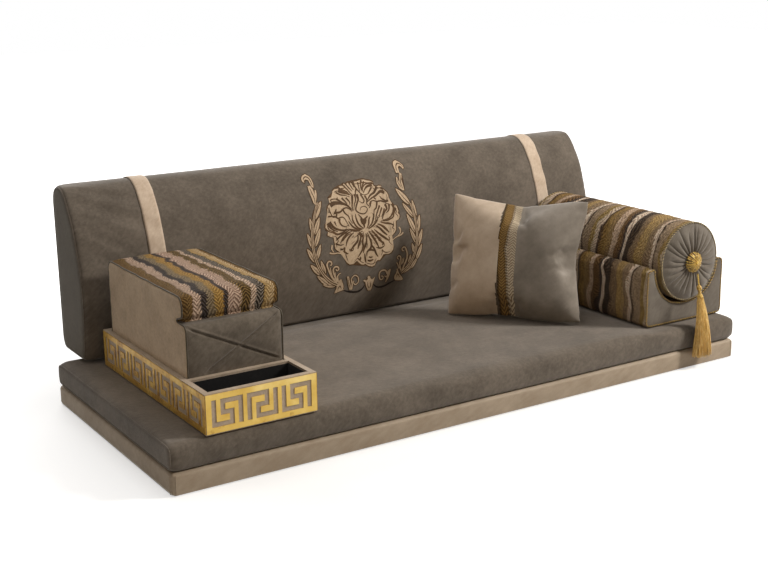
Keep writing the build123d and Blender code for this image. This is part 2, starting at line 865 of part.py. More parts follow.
def make_arm():
    stations = drawn_stations(arm_span, arm_draw, arm_draw_length, arm_crown_shares)
    outer = stuffed(across_x, arm_outline, stations, 0)
    inner = stuffed(across_x, arm_outline, stations, arm_cloth)
    core = stuffed(across_x, arm_outline, stations, arm_cloth + rest_gap)
    y_range = (front, backrest_back)
    z_range = (arm_bottom - overrun, arm_top + overrun)
    trim = board((arm_span[0] + arm_seam, arm_span[1] - arm_seam), y_range, z_range)
    core_trim = board((arm_span[0] + arm_seam + rest_gap, arm_span[1] - arm_seam - rest_gap),
                      y_range, z_range)
    wrap = (outer & trim) - inner
    crease = arm_y[0] + arm_nose_setback + arm_notch_depth + arm_cloth
    shelf = arm_top - arm_pad_height
    front_zone = board(arm_span, (front, crease), (arm_bottom - overrun, shelf))
    panels, welts = cushion_ends(
        across_x, arm_outline(0), arm_span, arm_seam, suede_thickness,
        arm_piping_radius, arm_draw, arm_piping_proud)
    side_panels = panels.solids().sort_by(Axis.X)
    return {
        "arm_foam_core": core & core_trim,
        "arm_striped_cover": wrap - front_zone,
        "arm_front_panel": (wrap & front_zone) - pleat_grooves(),
        "arm_left_panel": side_panels[0],
        "arm_right_panel": side_panels[1],
        "arm_piping": welts,
    }


# Cradle of the right arm

cradle_span = (front + cradle_front_offset, front + cradle_front_offset + cradle_length)
cradle_x = (cradle_left, cradle_left + cradle_width)
cradle_bottom = seat_top + rest_gap
cradle_top = cradle_bottom + cradle_height
cradle_seam = 2 * cradle_piping_radius + seam_gap
groove_middle = cradle_x[0] + cradle_groove_offset
groove_bottom = cradle_top - cradle_groove_depth
cradle_middle_shares = [(0.5, 0)]


def cradle_outline(crown):
    # The cradle from the front: a block with a round-bottomed groove between two horns.
    half = cradle_groove_width / 2
    return [
        (cradle_x[0], cradle_bottom, cradle_foot_radius),
        (cradle_x[1], cradle_bottom, cradle_foot_radius),
        (cradle_x[1], cradle_top, cradle_corner_radius),
        (groove_middle + half, cradle_top, cradle_horn_radius),
        (groove_middle + half, groove_bottom, cradle_groove_radius),
        (groove_middle - half, groove_bottom, cradle_groove_radius),
        (groove_middle - half, cradle_top, cradle_horn_radius),
        (cradle_x[0], cradle_top, cradle_corner_radius),
    ]


def make_cradle():
    stations = drawn_stations(cradle_span, cradle_draw, cradle_draw_length,
                              cradle_middle_shares)
    outer = stuffed(across_y, cradle_outline, stations, 0)
    inner = stuffed(across_y, cradle_outline, stations, cradle_cloth)
    core = stuffed(across_y, cradle_outline, stations, cradle_cloth + rest_gap)
    x_range = (cradle_x[0] - overrun, cradle_x[1] + overrun)
    z_range = (0, cradle_top + overrun)
    trim = board(x_range, (cradle_span[0] + cradle_seam, cradle_span[1] - cradle_seam),
                 z_range)
    core_trim = board(x_range, (cradle_span[0] + cradle_seam + rest_gap,
                                cradle_span[1] - cradle_seam - rest_gap), z_range)
    panels, welts = cushion_ends(
        across_y, cradle_outline(0), cradle_span, cradle_seam, suede_thickness,
        cradle_piping_radius, cradle_draw, cradle_piping_proud)
    end_panels = panels.solids().sort_by(Axis.Y)
    return {
        "cradle_foam_core": core & core_trim,
        "cradle_cover": (outer & trim) - inner,
        "cradle_front_panel": end_panels[0],
        "cradle_back_panel": end_panels[1],
        "cradle_piping": welts,
    }


# Bolster and its tassel

bolster_axis_height = groove_bottom + rest_gap + bolster_radius
bolster_y = (front + bolster_front_offset, front + bolster_front_offset + bolster_length)
pleat_radius = bolster_radius - bolster_taper - 2 * bolster_piping_radius - seam_gap
crown_front = bolster_y[0] - pleat_crown
button_height = bolster_axis_height + button_rise
dome_share = 0.24
pleat_foot_share = 0.5
button_dome_share = 0.7
button_valley_share = 0.3


def facetted(places, sides):
    # A form gathered by its sewing: one flat facet to each pleat, through (radius, y).
    turns = [2 * math.pi * i / sides for i in range(sides)]
    return skinned([[Vector(radius * math.cos(turn), y, radius * math.sin(turn))
                     for turn in turns] for radius, y in places])


def rolled(places):
    # A form of the bolster on its axis, through places (radius, y).
    return Pos(groove_middle, 0, bolster_axis_height) * facetted(places, pleat_count)


def bolster_sleeve(y_range):
    # A barrel-shaped tube: the cloth round the bolster.
    y0, y1 = y_range
    end_radius = bolster_radius - bolster_taper
    inner = end_radius - bolster_cloth
    barrel = rolled([(end_radius, y0), (bolster_radius, sum(y_range) / 2), (end_radius, y1)])
    return barrel - rolled([(inner, y0 - overrun), (inner, y1 + overrun)])


def pleat_profile():
    # The front end in half section from the rim to the dip, as (radius, y).
    return [
        (pleat_radius, bolster_y[0]),
        ((pleat_radius + pleat_crown_radius) / 2, crown_front + pleat_crown * dome_share),
        (pleat_crown_radius, crown_front),
        (pleat_dip_radius, crown_front + pleat_dip),
    ]


def along_pleat(radius):
    # The y of the front end's surface at a radius.
    for (r0, y0), (r1, y1) in zip(pleat_profile(), pleat_profile()[1:]):
        if r1 <= radius <= r0:
            return y0 + (y1 - y0) * (radius - r0) / (r1 - r0)
    return crown_front


def pleated_end():
    # The front end disc, domed, dipped at the button and gathered into radial pleats.
    disc = rolled([(pleat_radius, bolster_y[0] + pleat_backing)] + pleat_profile()[:3])
    disc -= rolled([(pleat_dip_radius, crown_front + pleat_dip),
                    (pleat_crown_radius, crown_front)])
    disc -= Pos(groove_middle, 0, button_height) * shank(button_shank_radius + rest_gap)
    grooves = []
    for i in range(pleat_count):
        turn = Rot(0, 360 / pleat_count * i, 0)
        grooves.append(Pos(groove_middle, 0, bolster_axis_height) * turn * pleat_groove())
    return disc - grooves


def pleat_groove():
    # The valley between two pleats: a slot that follows the dome from the button to the rim.
    inner = pleat_dip_radius + pleat_rim_land
    outer = pleat_radius - pleat_rim_land
    floor = [
        (outer, along_pleat(outer) + pleat_depth * pleat_foot_share),
        (pleat_crown_radius, crown_front + pleat_depth),
        (inner, along_pleat(inner) + pleat_depth * pleat_foot_share),
    ]
    roof = crown_front - pleat_crown
    slot = make_face(Polyline([(outer, roof)] + floor + [(inner, roof)], close=True))
    return extrude(slot, pleat_width / 2, both=True)


def shank(radius):
    # The twine that ties the button to the core, from the button's back inwards.
    start = crown_front - rest_gap
    return facetted([(radius, start), (radius, start + button_shank_length)], shank_sides)


def make_button():
    # A domed rosette of gold gimp with radial cords, on its twine.
    back_y = crown_front - rest_gap
    rim_y = back_y - button_thickness / 2
    front_y = back_y - button_thickness
    dome_y = front_y + (rim_y - front_y) * button_dome_share ** 2
    rosette = facetted([
        (button_radius, back_y), (button_radius, rim_y),
        (button_radius * button_dome_share, dome_y),
        (button_radius * button_valley_share, front_y),
    ], button_cords)
    valley = Pos(button_radius * button_valley_share, front_y, 0) * Box(
        button_radius, 2 * button_cord_depth + button_thickness / 2, button_cord_width / 2,
        align=(Align.MIN, Align.CENTER, Align.CENTER))
    pitch = 360 / button_cords
    valleys = [Rot(0, pitch * i, 0) * valley for i in range(button_cords)]
    place = Pos(groove_middle, 0, button_height)
    return place * (rosette - valleys + shank(button_shank_radius))


def bolster_welt(y, inward):
    # The welt ring at one end of the bolster.
    radius = bolster_piping_radius
    middle = bolster_radius - bolster_taper - radius
    place = y + inward * radius
    outer = rolled([(middle, place - radius), (middle + radius, place),
                    (middle, place + radius)])
    return outer - rolled([(middle, place - radius), (middle - radius, place),
                           (middle, place + radius)])


def make_bolster():
    seam = 2 * bolster_piping_radius + seam_gap
    sleeve_y = (bolster_y[0] + seam, bolster_y[1] - seam)
    core_radius = bolster_radius - bolster_taper - bolster_cloth - rest_gap
    core_y = (bolster_y[0] + pleat_backing + rest_gap, bolster_y[1] - pleat_backing - rest_gap)
    core = rolled([(core_radius, core_y[0]), (core_radius, core_y[1])])
    core -= Pos(groove_middle, 0, button_height) * shank(button_shank_radius + rest_gap)
    back_pleats = rolled([(pleat_radius, bolster_y[1] - pleat_backing),
                          (pleat_radius, bolster_y[1])])
    return {
        "bolster_core": core,
        "bolster_cover": bolster_sleeve(sleeve_y),
        "bolster_front_pleats": pleated_end(),
        "bolster_back_pleats": back_pleats,
        "bolster_piping": Compound(children=[bolster_welt(bolster_y[0], 1),
                                             bolster_welt(bolster_y[1], -1)]),
        "bolster_button": make_button(),
    }


tassel_x = groove_middle
tassel_knot_shares = [(0, 0.75), (0.12, 1), (0.26, 1), (0.36, 0.6), (0.7, 0.6), (0.86, 1),
                      (1, 1)]
tassel_start = Vector(tassel_x, crown_front - tassel_forward,
                      button_height - button_radius - rest_gap)
tassel_upward = Vector(0, math.sin(math.radians(tassel_lean)),
                       math.cos(math.radians(tassel_lean)))


def hanging(distance):
    # The place at a distance down the leaning line of the tassel.
    return tassel_start - tassel_upward * distance


def hanging_plane(distance):
    # The plane square to the tassel's line, its normal pointing up the line.
    return Plane(origin=hanging(distance), x_dir=(1, 0, 0), z_dir=tassel_upward)


def oval(middle, width, depth):
    # An oval ring of points round a place of the tassel, square to its line.
    turns = [2 * math.pi * i / tassel_sides for i in range(tassel_sides)]
    forward = Vector(1, 0, 0).cross(tassel_upward)
    return [middle + Vector(width / 2 * math.cos(turn), 0, 0)
            + forward * (depth / 2 * math.sin(turn)) for turn in turns]


def make_tassel():
    radius = tassel_cord_diameter / 2
    strand = Polyline((0, rest_gap), (tassel_cord_tip_radius, rest_gap), (radius, 2 * radius),
                      (radius, tassel_cord_length), (0, tassel_cord_length), close=True)
    cord = hanging_plane(tassel_cord_length) * revolve(Plane.XZ * make_face(strand), axis=Axis.Z)
    head = skinned([
        oval(hanging(tassel_cord_length + tassel_head_length * along),
             2 * tassel_knot_radius * share, 2 * tassel_knot_radius * share)
        for along, share in tassel_knot_shares
    ])
    neck = hanging(tassel_cord_length + tassel_head_length)
    foot = neck - Vector(0, tassel_foot_swing, tassel_skirt_length)
    belly = (neck + foot) / 2 - Vector(0, tassel_belly_swing, 0)
    skirt = skinned([
        oval(neck, tassel_top_width, tassel_top_depth),
        oval(belly, tassel_middle_width, tassel_middle_depth),
        oval(foot, tassel_foot_width, tassel_foot_depth),
    ])
    return {"tassel_cord": cord, "tassel_head": head, "tassel_skirt": skirt}


# Scatter pillow

pillow_layers = [(0, 1, 1), (0.34, 0.955, 0.4), (0.64, 0.85, -0.5), (0.86, 0.64, -1.6),
                 (1, 0.3, -1.2)]
pillow_foot = seat_top + seat_crown + rest_gap


def pillow_plane():
    # The seam plane: X along the pillow's foot, Y up its height, Z out of its face.
    turn, lean = math.radians(pillow_turn), math.radians(pillow_lean)
    along = Vector(math.cos(turn), math.sin(turn), 0)
    outward = Vector(math.sin(turn), -math.cos(turn), 0)
    facing = outward * math.cos(lean) + Vector(0, 0, math.sin(lean))
    rise = pillow_height / 2 * math.cos(lean)
    middle = Vector(-left - pillow_right_offset, front + pillow_front_offset,
                    pillow_foot + rise)
    return Plane(origin=middle, x_dir=along, z_dir=facing)


def pillow_ring(height, scale_share, sag_share, inset):
    # One level of the pillow as a ring of points: four bowed sides that meet in points.
    half_width = pillow_width / 2 * scale_share - inset
    half_height = pillow_height / 2 * scale_share - inset
    sag = pillow_side_draw * sag_share
    points = []
    for i in range(4):
        away = Vector(0, -1).rotate(Axis.Z, 90 * i)
        along = Vector(1, 0).rotate(Axis.Z, 90 * i)
        reach, half = (half_width, half_height) if i % 2 else (half_height, half_width)
        for k in range(arc_chords):
            share = 2 * k / arc_chords - 1
            points.append(away * (reach - sag * (1 - share ** 2)) + along * half * share
                          + Vector(0, 0, height))
    return points


def pillow_half(side, inset):
    # The crowned half of the pillow in front of the seam (side 1) or behind it (side -1).
    rise = pillow_thickness / 2 - inset
    return skinned([
        pillow_ring(side * rise * height, scale_share, sag_share, inset)
        for height, scale_share, sag_share in pillow_layers
    ])


def make_pillow():
    plane = pillow_plane()
    filling = pillow_half(1, pillow_cloth + rest_gap) + pillow_half(-1, pillow_cloth + rest_gap)
    face_cloth = pillow_half(1, 0) - pillow_half(1, pillow_cloth)
    back_cloth = pillow_half(-1, 0) - pillow_half(-1, pillow_cloth)
    first = pillow_width * (pillow_beige_share - 0.5)
    second = first + pillow_width * pillow_stripe_share
    reach = pillow_width
    depth = (-pillow_thickness, pillow_thickness)
    zones = {
        "pillow_beige_panel": (-reach, first),
        "pillow_stripe_panel": (first, second),
        "pillow_grey_panel": (second, reach),
    }
    parts = {
        name: plane * (face_cloth & board(zone, (-reach, reach), depth))
        for name, zone in zones.items()
    }
    parts["pillow_back_panel"] = plane * back_cloth
    parts["pillow_insert"] = plane * filling
    return parts


def main():
    os.makedirs("parts", exist_ok=True)
    for make in (make_base, make_seat, make_backrest, make_tray, make_arm, make_cradle,
                 make_bolster, make_tassel, make_pillow):
        for name, shape in make().items():
            export_step(shape, f"parts/{name}.step")


main()
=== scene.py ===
import bpy
import bmesh
import math
import random
import numpy as np
from mathutils import Matrix, Vector, noise
from mathutils.bvhtree import BVHTree


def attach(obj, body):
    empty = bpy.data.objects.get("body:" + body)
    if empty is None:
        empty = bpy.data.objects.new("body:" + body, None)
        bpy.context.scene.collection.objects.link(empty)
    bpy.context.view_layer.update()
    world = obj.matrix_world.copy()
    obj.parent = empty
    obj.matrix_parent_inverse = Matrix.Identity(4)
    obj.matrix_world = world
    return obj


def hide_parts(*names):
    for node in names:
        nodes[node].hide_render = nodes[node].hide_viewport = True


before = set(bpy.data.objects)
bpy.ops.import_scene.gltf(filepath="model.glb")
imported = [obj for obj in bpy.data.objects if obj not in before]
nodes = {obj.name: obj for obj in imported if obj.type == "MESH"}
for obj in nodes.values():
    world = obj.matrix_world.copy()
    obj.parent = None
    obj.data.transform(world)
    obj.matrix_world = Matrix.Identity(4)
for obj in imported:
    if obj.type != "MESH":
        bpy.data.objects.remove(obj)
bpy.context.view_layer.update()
scene = bpy.context.scene
mm = 0.001


def hexColour(code):
    # an sRGB hex value as the linear colour that nodes and lamps take
    channels = [int(code[i:i + 2], 16) / 255 for i in (0, 2, 4)]
    return tuple(c / 12.92 if c <= 0.04045 else ((c + 0.055) / 1.055) ** 2.4
                 for c in channels) + (1.0,)


def feed(tree, node, inputs):
    # a socket is linked to its input, any other value is written into it
    for key, value in inputs.items():
        if isinstance(value, bpy.types.NodeSocket):
            tree.links.new(value, node.inputs[key])
        else:
            node.inputs[key].default_value = value


def addNode(tree, kind, inputs=None, stops=None, **settings):
    node = tree.nodes.new("ShaderNode" + kind)
    for name, value in settings.items():
        setattr(node, name, value)
    feed(tree, node, inputs or {})
    if stops:
        elements = node.color_ramp.elements
        while len(elements) < len(stops):
            elements.new(0.5)
        for element, (position, code) in zip(elements, stops):
            element.position = position
            element.color = hexColour(code)
    return node


def newMaterial(name):
    material = bpy.data.materials.new(name)
    material.use_nodes = True
    tree = material.node_tree
    tree.nodes.clear()
    shader = addNode(tree, "BsdfPrincipled")
    addNode(tree, "OutputMaterial", {0: shader.outputs[0]})
    place = addNode(tree, "TexCoord").outputs["Object"]
    return material, tree, shader, place


def napCloth(name, look):
    # soft clouds, slanting strokes of the nap and a fine grain that catches the light;
    # cloud, stroke and grain are their sizes in mm
    material, tree, shader, place = newMaterial(name)
    clouds = addNode(tree, "TexNoise", {"Vector": place, "Scale": 1000 / look["cloud"],
                                        "Detail": 5.0, "Roughness": 0.65})
    long, wide = look["stroke"]
    turned = addNode(tree, "Mapping", {"Vector": place, "Rotation": look["turn"]})
    drawn = addNode(tree, "Mapping", {
        "Vector": turned.outputs[0], "Scale": (1000 / long, 1000 / wide, 1000 / wide)})
    strokes = addNode(tree, "TexNoise", {"Vector": drawn.outputs[0], "Scale": 1.0,
                                         "Detail": 4.0, "Roughness": 0.6})
    blended = addNode(tree, "Mix", {0: look.get("strokeShare", 0.4),
                                    2: clouds.outputs[0], 3: strokes.outputs[0]})
    spread = look.get("spread", 0.16)
    shade = addNode(tree, "ValToRGB", {0: blended.outputs[0]}, stops=[
        (0.5 - spread, look["dark"]), (0.5, look["mid"]), (0.5 + spread, look["light"])])
    grain = addNode(tree, "TexNoise", {"Vector": place, "Scale": 1000 / look["grain"],
                                       "Detail": 3.0, "Roughness": 0.7})
    speck = addNode(tree, "Mix", {0: look.get("speck", 0.12), 6: shade.outputs[0],
                                  7: grain.outputs[0]},
                    data_type="RGBA", blend_type="OVERLAY")
    height = addNode(tree, "Math", {0: strokes.outputs[0], 1: grain.outputs[0]},
                     operation="ADD")
    bump = addNode(tree, "Bump", {"Height": height.outputs[0], "Strength": look["bump"],
                                  "Distance": 0.001})
    feed(tree, shader, {
        "Base Color": speck.outputs[2], "Normal": bump.outputs[0],
        "Roughness": look["rough"], "Sheen Weight": look.get("sheen", 0.0),
        "Sheen Roughness": 0.45, "Specular IOR Level": look.get("specular", 0.25)})
    return material


def stripedCloth(name, look):
    # woven stripes with scalloped borders; each shades from one yarn into another and
    # carries a slanting hatch that toothes its edges
    material, tree, shader, place = newMaterial(name)
    spun = addNode(tree, "Mapping", {"Vector": place, "Rotation": look["turn"],
                                     "Location": look.get("shift", (0, 0, 0))})
    parts = addNode(tree, "SeparateXYZ", {0: spun.outputs[0]})
    across, along, rise = parts.outputs[0], parts.outputs[1], parts.outputs[2]
    stretched = addNode(tree, "Mapping", {"Vector": spun.outputs[0],
                                          "Scale": look["wanderScale"]})
    wander = addNode(tree, "TexNoise", {"Vector": stretched.outputs[0], "Scale": 1.0,
                                        "Detail": 1.0, "Roughness": 0.4})
    centred = addNode(tree, "Math", {0: wander.outputs[0], 1: 0.5}, operation="SUBTRACT")
    bent = addNode(tree, "Math", {0: centred.outputs[0], 1: look["wander"] * mm, 2: across},
                   operation="MULTIPLY_ADD")
    # herringbone: the hatch slants one way and then the other, drawn coarser than the
    # real weave so that it shows
    zig = addNode(tree, "Math", {0: bent.outputs[0], 1: look["column"] * mm},
                  operation="PINGPONG")
    around = addNode(tree, "Math", {0: along, 1: rise}, operation="ADD")
    slant = addNode(tree, "Math", {0: zig.outputs[0], 1: look["slope"], 2: around.outputs[0]},
                    operation="MULTIPLY_ADD")
    # the hatch loosens in patches of 12 mm, and the borders fray in tufts of 3.5 mm
    ragged = addNode(tree, "TexNoise", {"Vector": place, "Scale": 1000 / 12, "Detail": 2.0})
    loose = addNode(tree, "Math", {0: ragged.outputs[0], 1: 0.5 * look["pitch"] * mm,
                                   2: slant.outputs[0]}, operation="MULTIPLY_ADD")
    turns = addNode(tree, "Math", {0: loose.outputs[0], 1: 2 * math.pi * 1000 / look["pitch"]},
                    operation="MULTIPLY")
    lines = addNode(tree, "Math", {0: turns.outputs[0]}, operation="SINE")
    toothed = addNode(tree, "Math", {0: lines.outputs[0], 1: look["tooth"] * mm,
                                     2: bent.outputs[0]}, operation="MULTIPLY_ADD")
    fray = addNode(tree, "TexNoise", {"Vector": place, "Scale": 1000 / 3.5, "Detail": 2.0})
    frayed = addNode(tree, "Math", {0: fray.outputs[0], 1: look["fray"] * mm,
                                    2: toothed.outputs[0]}, operation="MULTIPLY_ADD")
    share = addNode(tree, "Math", {0: frayed.outputs[0], 1: 1000 / look["repeat"]},
                    operation="MULTIPLY")
    turn = addNode(tree, "Math", {0: share.outputs[0]}, operation="FRACT")

    def banded(first, second):
        # each stripe shades from one of its yarns into the other
        stops = []
        ends = [row[0] for row in look["stripes"][1:]] + [1.0]
        for row, finish in zip(look["stripes"], ends):
            stops += [(row[0] + 0.001, row[first]), (finish - 0.001, row[second])]
        return addNode(tree, "ValToRGB", {0: turn.outputs[0]}, stops=stops)

    ground, hatchColour = banded(1, 2), banded(3, 3)
    hatch = addNode(tree, "MapRange", {0: lines.outputs[0], 1: -0.2, 2: 0.6, 3: 0.0,
                                       4: look["hatchShare"]})
    woven = addNode(tree, "Mix", {0: hatch.outputs[0], 6: ground.outputs[0],
                                  7: hatchColour.outputs[0]}, data_type="RGBA")
    boucle = addNode(tree, "TexNoise", {"Vector": place, "Scale": 1000 / look["boucle"],
                                        "Detail": 3.0, "Roughness": 0.65})
    fleece = addNode(tree, "MapRange", {0: boucle.outputs[0], 1: 0.34, 2: 0.66})
    speck = addNode(tree, "Mix", {0: look["speck"], 6: woven.outputs[2],
                                  7: fleece.outputs[0]},
                    data_type="RGBA", blend_type="OVERLAY")
    relief = addNode(tree, "Math", {0: lines.outputs[0], 1: 0.25, 2: boucle.outputs[0]},
                     operation="MULTIPLY_ADD")
    bump = addNode(tree, "Bump", {"Height": relief.outputs[0], "Strength": 0.8,
                                  "Distance": look["relief"] * mm})
    feed(tree, shader, {"Base Color": speck.outputs[2], "Normal": bump.outputs[0],
                        "Roughness": 0.9, "Sheen Weight": 0.05,
                        "Specular IOR Level": 0.1})
    return material


def goldYarn(name, look):
    # lustrous twisted yarn: slanting bright and dark plies with a soft gleam
    material, tree, shader, place = newMaterial(name)
    spun = addNode(tree, "Mapping", {"Vector": place, "Rotation": look["turn"]})
    plies = addNode(tree, "TexWave", {
        "Vector": spun.outputs[0], "Scale": 1000 / look["ply"] / 6.3,
        "Distortion": 1.5, "Detail": 2.0, "Detail Scale": 2.0})
    patches = addNode(tree, "TexNoise", {"Vector": place, "Scale": 1000 / look["patch"],
                                         "Detail": 3.0})
    both = addNode(tree, "Mix", {0: look["patchShare"], 2: plies.outputs[1],
                                 3: patches.outputs[0]})
    shade = addNode(tree, "ValToRGB", {0: both.outputs[0]}, stops=[
        (0.18, look["dark"]), (0.5, look["mid"]), (0.82, look["light"])])
    bump = addNode(tree, "Bump", {"Height": plies.outputs[1], "Strength": 0.6,
                                  "Distance": 0.0006})
    feed(tree, shader, {"Base Color": shade.outputs[0], "Normal": bump.outputs[0],
                        "Roughness": look["rough"], "Metallic": look["metal"],
                        "Sheen Weight": 0.3})
    return material


suede = {"dark": "50483f", "mid": "635a50", "light": "756b60", "cloud": 130,
         "stroke": (60, 9), "turn": (0.2, 0.75, 0.7), "grain": 2.2, "bump": 0.35,
         "rough": 0.92, "sheen": 0.35, "spread": 0.17}
materials = {
    # brushed suede with clouds of turned nap
    "taupeSuede": napCloth("taupeSuede", suede),
    # the same hide made darker for the backrest's end panels, as painted shade of the ends; the
    # arm's welts take it too
    "paleSuede": napCloth("paleSuede", dict(suede, dark="463e31", mid="50483b",
                                            light="5e5648", spread=0.2)),
    # soft beige nubuck of the arm cushion's sides
    "nubuck": napCloth("nubuck", {
        "dark": "ac967c", "mid": "c2ab90", "light": "d2bda2", "cloud": 90,
        "stroke": (30, 8), "turn": (0.9, 0.2, 0.1), "grain": 1.8, "bump": 0.25,
        "rough": 0.9, "sheen": 0.3}),
    # darker suede of the arm cushion's front, rubbed paler in spots
    "darkSuede": napCloth("darkSuede", dict(suede, dark="524a40", mid="655c51",
                                            light="786e62", cloud=60)),
    # matte weave of the bolster's end and the cradle's front
    "plainWeave": napCloth("plainWeave", {
        "dark": "5d554b", "mid": "6d655b", "light": "7c746a", "cloud": 90,
        "stroke": (14, 4), "turn": (0, 0.8, 0), "grain": 1.6, "bump": 0.25,
        "rough": 0.85, "sheen": 0.3}),
    # fine-grained leatherette of the plinth, with slow waves of tone
    "leatherette": napCloth("leatherette", {
        "dark": "96846f", "mid": "a2927e", "light": "ae9d89", "cloud": 110,
        "stroke": (60, 16), "turn": (0, 0.4, 0), "grain": 3.0, "bump": 0.3,
        "rough": 0.62, "specular": 0.4, "speck": 0.08}),
    # pale suede bands
    "strapSuede": napCloth("strapSuede", {
        "dark": "b5a08a", "mid": "c6b29d", "light": "d4c2ae", "cloud": 60,
        "stroke": (22, 6), "turn": (0, 0.9, 0), "grain": 2.0, "bump": 0.3,
        "rough": 0.9, "sheen": 0.3}),
    # lacquered board of the tray, beige with a faint grain
    "trayBoard": napCloth("trayBoard", {
        "dark": "9c8b78", "mid": "ad9c89", "light": "beae9b", "cloud": 80,
        "stroke": (90, 5), "turn": (0, 0, 1.57), "grain": 1.5, "bump": 0.15,
        "rough": 0.6, "specular": 0.4}),
    # black flock in the bin
    "blackFlock": napCloth("blackFlock", {
        "dark": "080707", "mid": "0f0d0d", "light": "1a1817", "cloud": 40,
        "stroke": (10, 5), "turn": (0, 0, 0), "grain": 1.2, "bump": 0.4,
        "rough": 0.95, "sheen": 0.1}),
    # crushed velvets of the pillow
    "velvetBeige": napCloth("velvetBeige", {
        "dark": "ad9a85", "mid": "bfac97", "light": "cfbfab", "cloud": 120,
        "stroke": (60, 22), "turn": (0.3, 0.6, 0.4), "grain": 1.6, "bump": 0.2,
        "rough": 0.65, "sheen": 0.5, "strokeShare": 0.2}),
    "velvetGrey": napCloth("velvetGrey", {
        "dark": "6d655a", "mid": "82796e", "light": "968d82", "cloud": 130,
        "stroke": (80, 26), "turn": (0.3, 0.6, 0.9), "grain": 1.6, "bump": 0.2,
        "rough": 0.6, "sheen": 0.5, "strokeShare": 0.2}),
    # embroidery in satin stitch: pale thread, and the brown thread round it
    "paleThread": napCloth("paleThread", {
        "dark": "a68f73", "mid": "bea587", "light": "d2bda1", "cloud": 30,
        "stroke": (14, 1.6), "turn": (0, 0.9, 0), "grain": 1.4, "bump": 0.7,
        "rough": 0.6, "sheen": 0.4, "strokeShare": 0.7}),
    "brownThread": napCloth("brownThread", {
        "dark": "37240f", "mid": "4c3419", "light": "63472a", "cloud": 30,
        "stroke": (10, 1.6), "turn": (0, 0.9, 0), "grain": 1.4, "bump": 0.6,
        "rough": 0.7, "sheen": 0.2}),
    # near-black cord of the swags
    "blackThread": napCloth("blackThread", {
        "dark": "140e09", "mid": "1f150e", "light": "2d2016", "cloud": 30,
        "stroke": (10, 1.6), "turn": (0, 0.4, 0), "grain": 1.4, "bump": 0.6, "rough": 0.7}),
    # hidden stuff: planed pine, foam, wadding, dust cloth, zip tape and its metal
    "pine": napCloth("pine", {
        "dark": "a9824f", "mid": "c9a26d", "light": "dcbd8c", "cloud": 60,
        "stroke": (400, 7), "turn": (0, 0, 0), "grain": 1.5, "bump": 0.3,
        "rough": 0.6, "strokeShare": 0.8}),
    "foam": napCloth("foam", {
        "dark": "d9c894", "mid": "e8daaa", "light": "f0e6c0", "cloud": 50,
        "stroke": (6, 6), "turn": (0, 0, 0), "grain": 2.0, "bump": 0.8, "rough": 0.95}),
    "wadding": napCloth("wadding", {
        "dark": "d3cfc4", "mid": "e4e0d6", "light": "f0ede6", "cloud": 40,
        "stroke": (20, 3), "turn": (0, 0, 0.5), "grain": 2.0, "bump": 0.8, "rough": 0.95}),
    "dustCloth": napCloth("dustCloth", {
        "dark": "1c1a19", "mid": "262422", "light": "33302d", "cloud": 40,
        "stroke": (8, 3), "turn": (0, 0, 0.8), "grain": 1.5, "bump": 0.4, "rough": 0.95}),
    "zipTape": napCloth("zipTape", {
        "dark": "3a332b", "mid": "4a4239", "light": "5a5147", "cloud": 30,
        "stroke": (4, 1.5), "turn": (0, 0, 0), "grain": 1.5, "bump": 0.6, "rough": 0.8}),
}

# the arm cushion's stripes run from front to back, in the order seen from the left; each
# row is where a stripe starts, the two yarns it shades between, and its hatch
materials["armStripes"] = stripedCloth("armStripes", {
    "turn": (0, 0, 0), "shift": (0.878, 0, 0), "repeat": 286, "wanderScale": (12, 24, 12),
    "wander": 38, "tooth": 2.4, "fray": 5, "column": 15, "slope": 1.3, "pitch": 12,
    "hatchShare": 0.85, "boucle": 4.0, "speck": 0.4, "relief": 2.2,
    "stripes": [(0.0, "463013", "5b4527", "775d36"), (0.12, "bea591", "b69e89", "6d5543"),
                (0.20, "20180f", "2a2117", "48403f"), (0.27, "5c5041", "68563a", "87775e"),
                (0.345, "72552a", "8b6835", "a6864a"), (0.43, "231a12", "2b2218", "4d4442"),
                (0.475, "bea491", "b39a85", "614536"), (0.60, "2e210c", "3a2a0f", "7e643b"),
                (0.69, "c1ab95", "bca28c", "6b5644"), (0.74, "1f160f", "292117", "857a6d"),
                (0.83, "a08556", "b8a17f", "7a5e32"), (0.94, "543d20", "38260d", "7c5f32")]})
# the bolster's stripes run round it, the cradle's up its sides: one fleecy cloth
rollStripes = {
    "turn": (0, 0, -1.5708), "repeat": 322, "wanderScale": (14, 9, 9), "wander": 72,
    "tooth": 2.2, "fray": 6, "column": 11, "slope": 1.0, "pitch": 8.5, "hatchShare": 0.7,
    "boucle": 5.5, "speck": 0.5, "relief": 3.5,
    "stripes": [(0.0, "69542f", "866c3e", "9f8857"), (0.055, "907a60", "96836c", "78644d"),
                (0.15, "281b11", "352619", "594739"), (0.172, "cebaa4", "dbc6af", "6f5c4c"),
                (0.22, "917b63", "836c4e", "66543e"), (0.29, "7c643f", "907344", "af9565"),
                (0.40, "866e4e", "79644e", "5e4d39"), (0.47, "2d2013", "281e16", "524233"),
                (0.552, "d4bfa9", "e2ceb7", "655447"), (0.602, "2f2219", "271d15", "594a40"),
                (0.65, "432e19", "5c4222", "806342"), (0.72, "ac947c", "c4ab92", "836c56"),
                (0.80, "866d4d", "8c703f", "634e2e"), (0.88, "735b30", "583f20", "8f7243"),
                (0.93, "271a0f", "312115", "54422e"), (0.953, "cab49e", "b6a48b", "705e4c")]}
for name, shift in (("bolsterStripes", 0.366), ("cradleStripes", 0.336)):
    materials[name] = stripedCloth(name, dict(rollStripes, shift=(shift, 0, 0)))
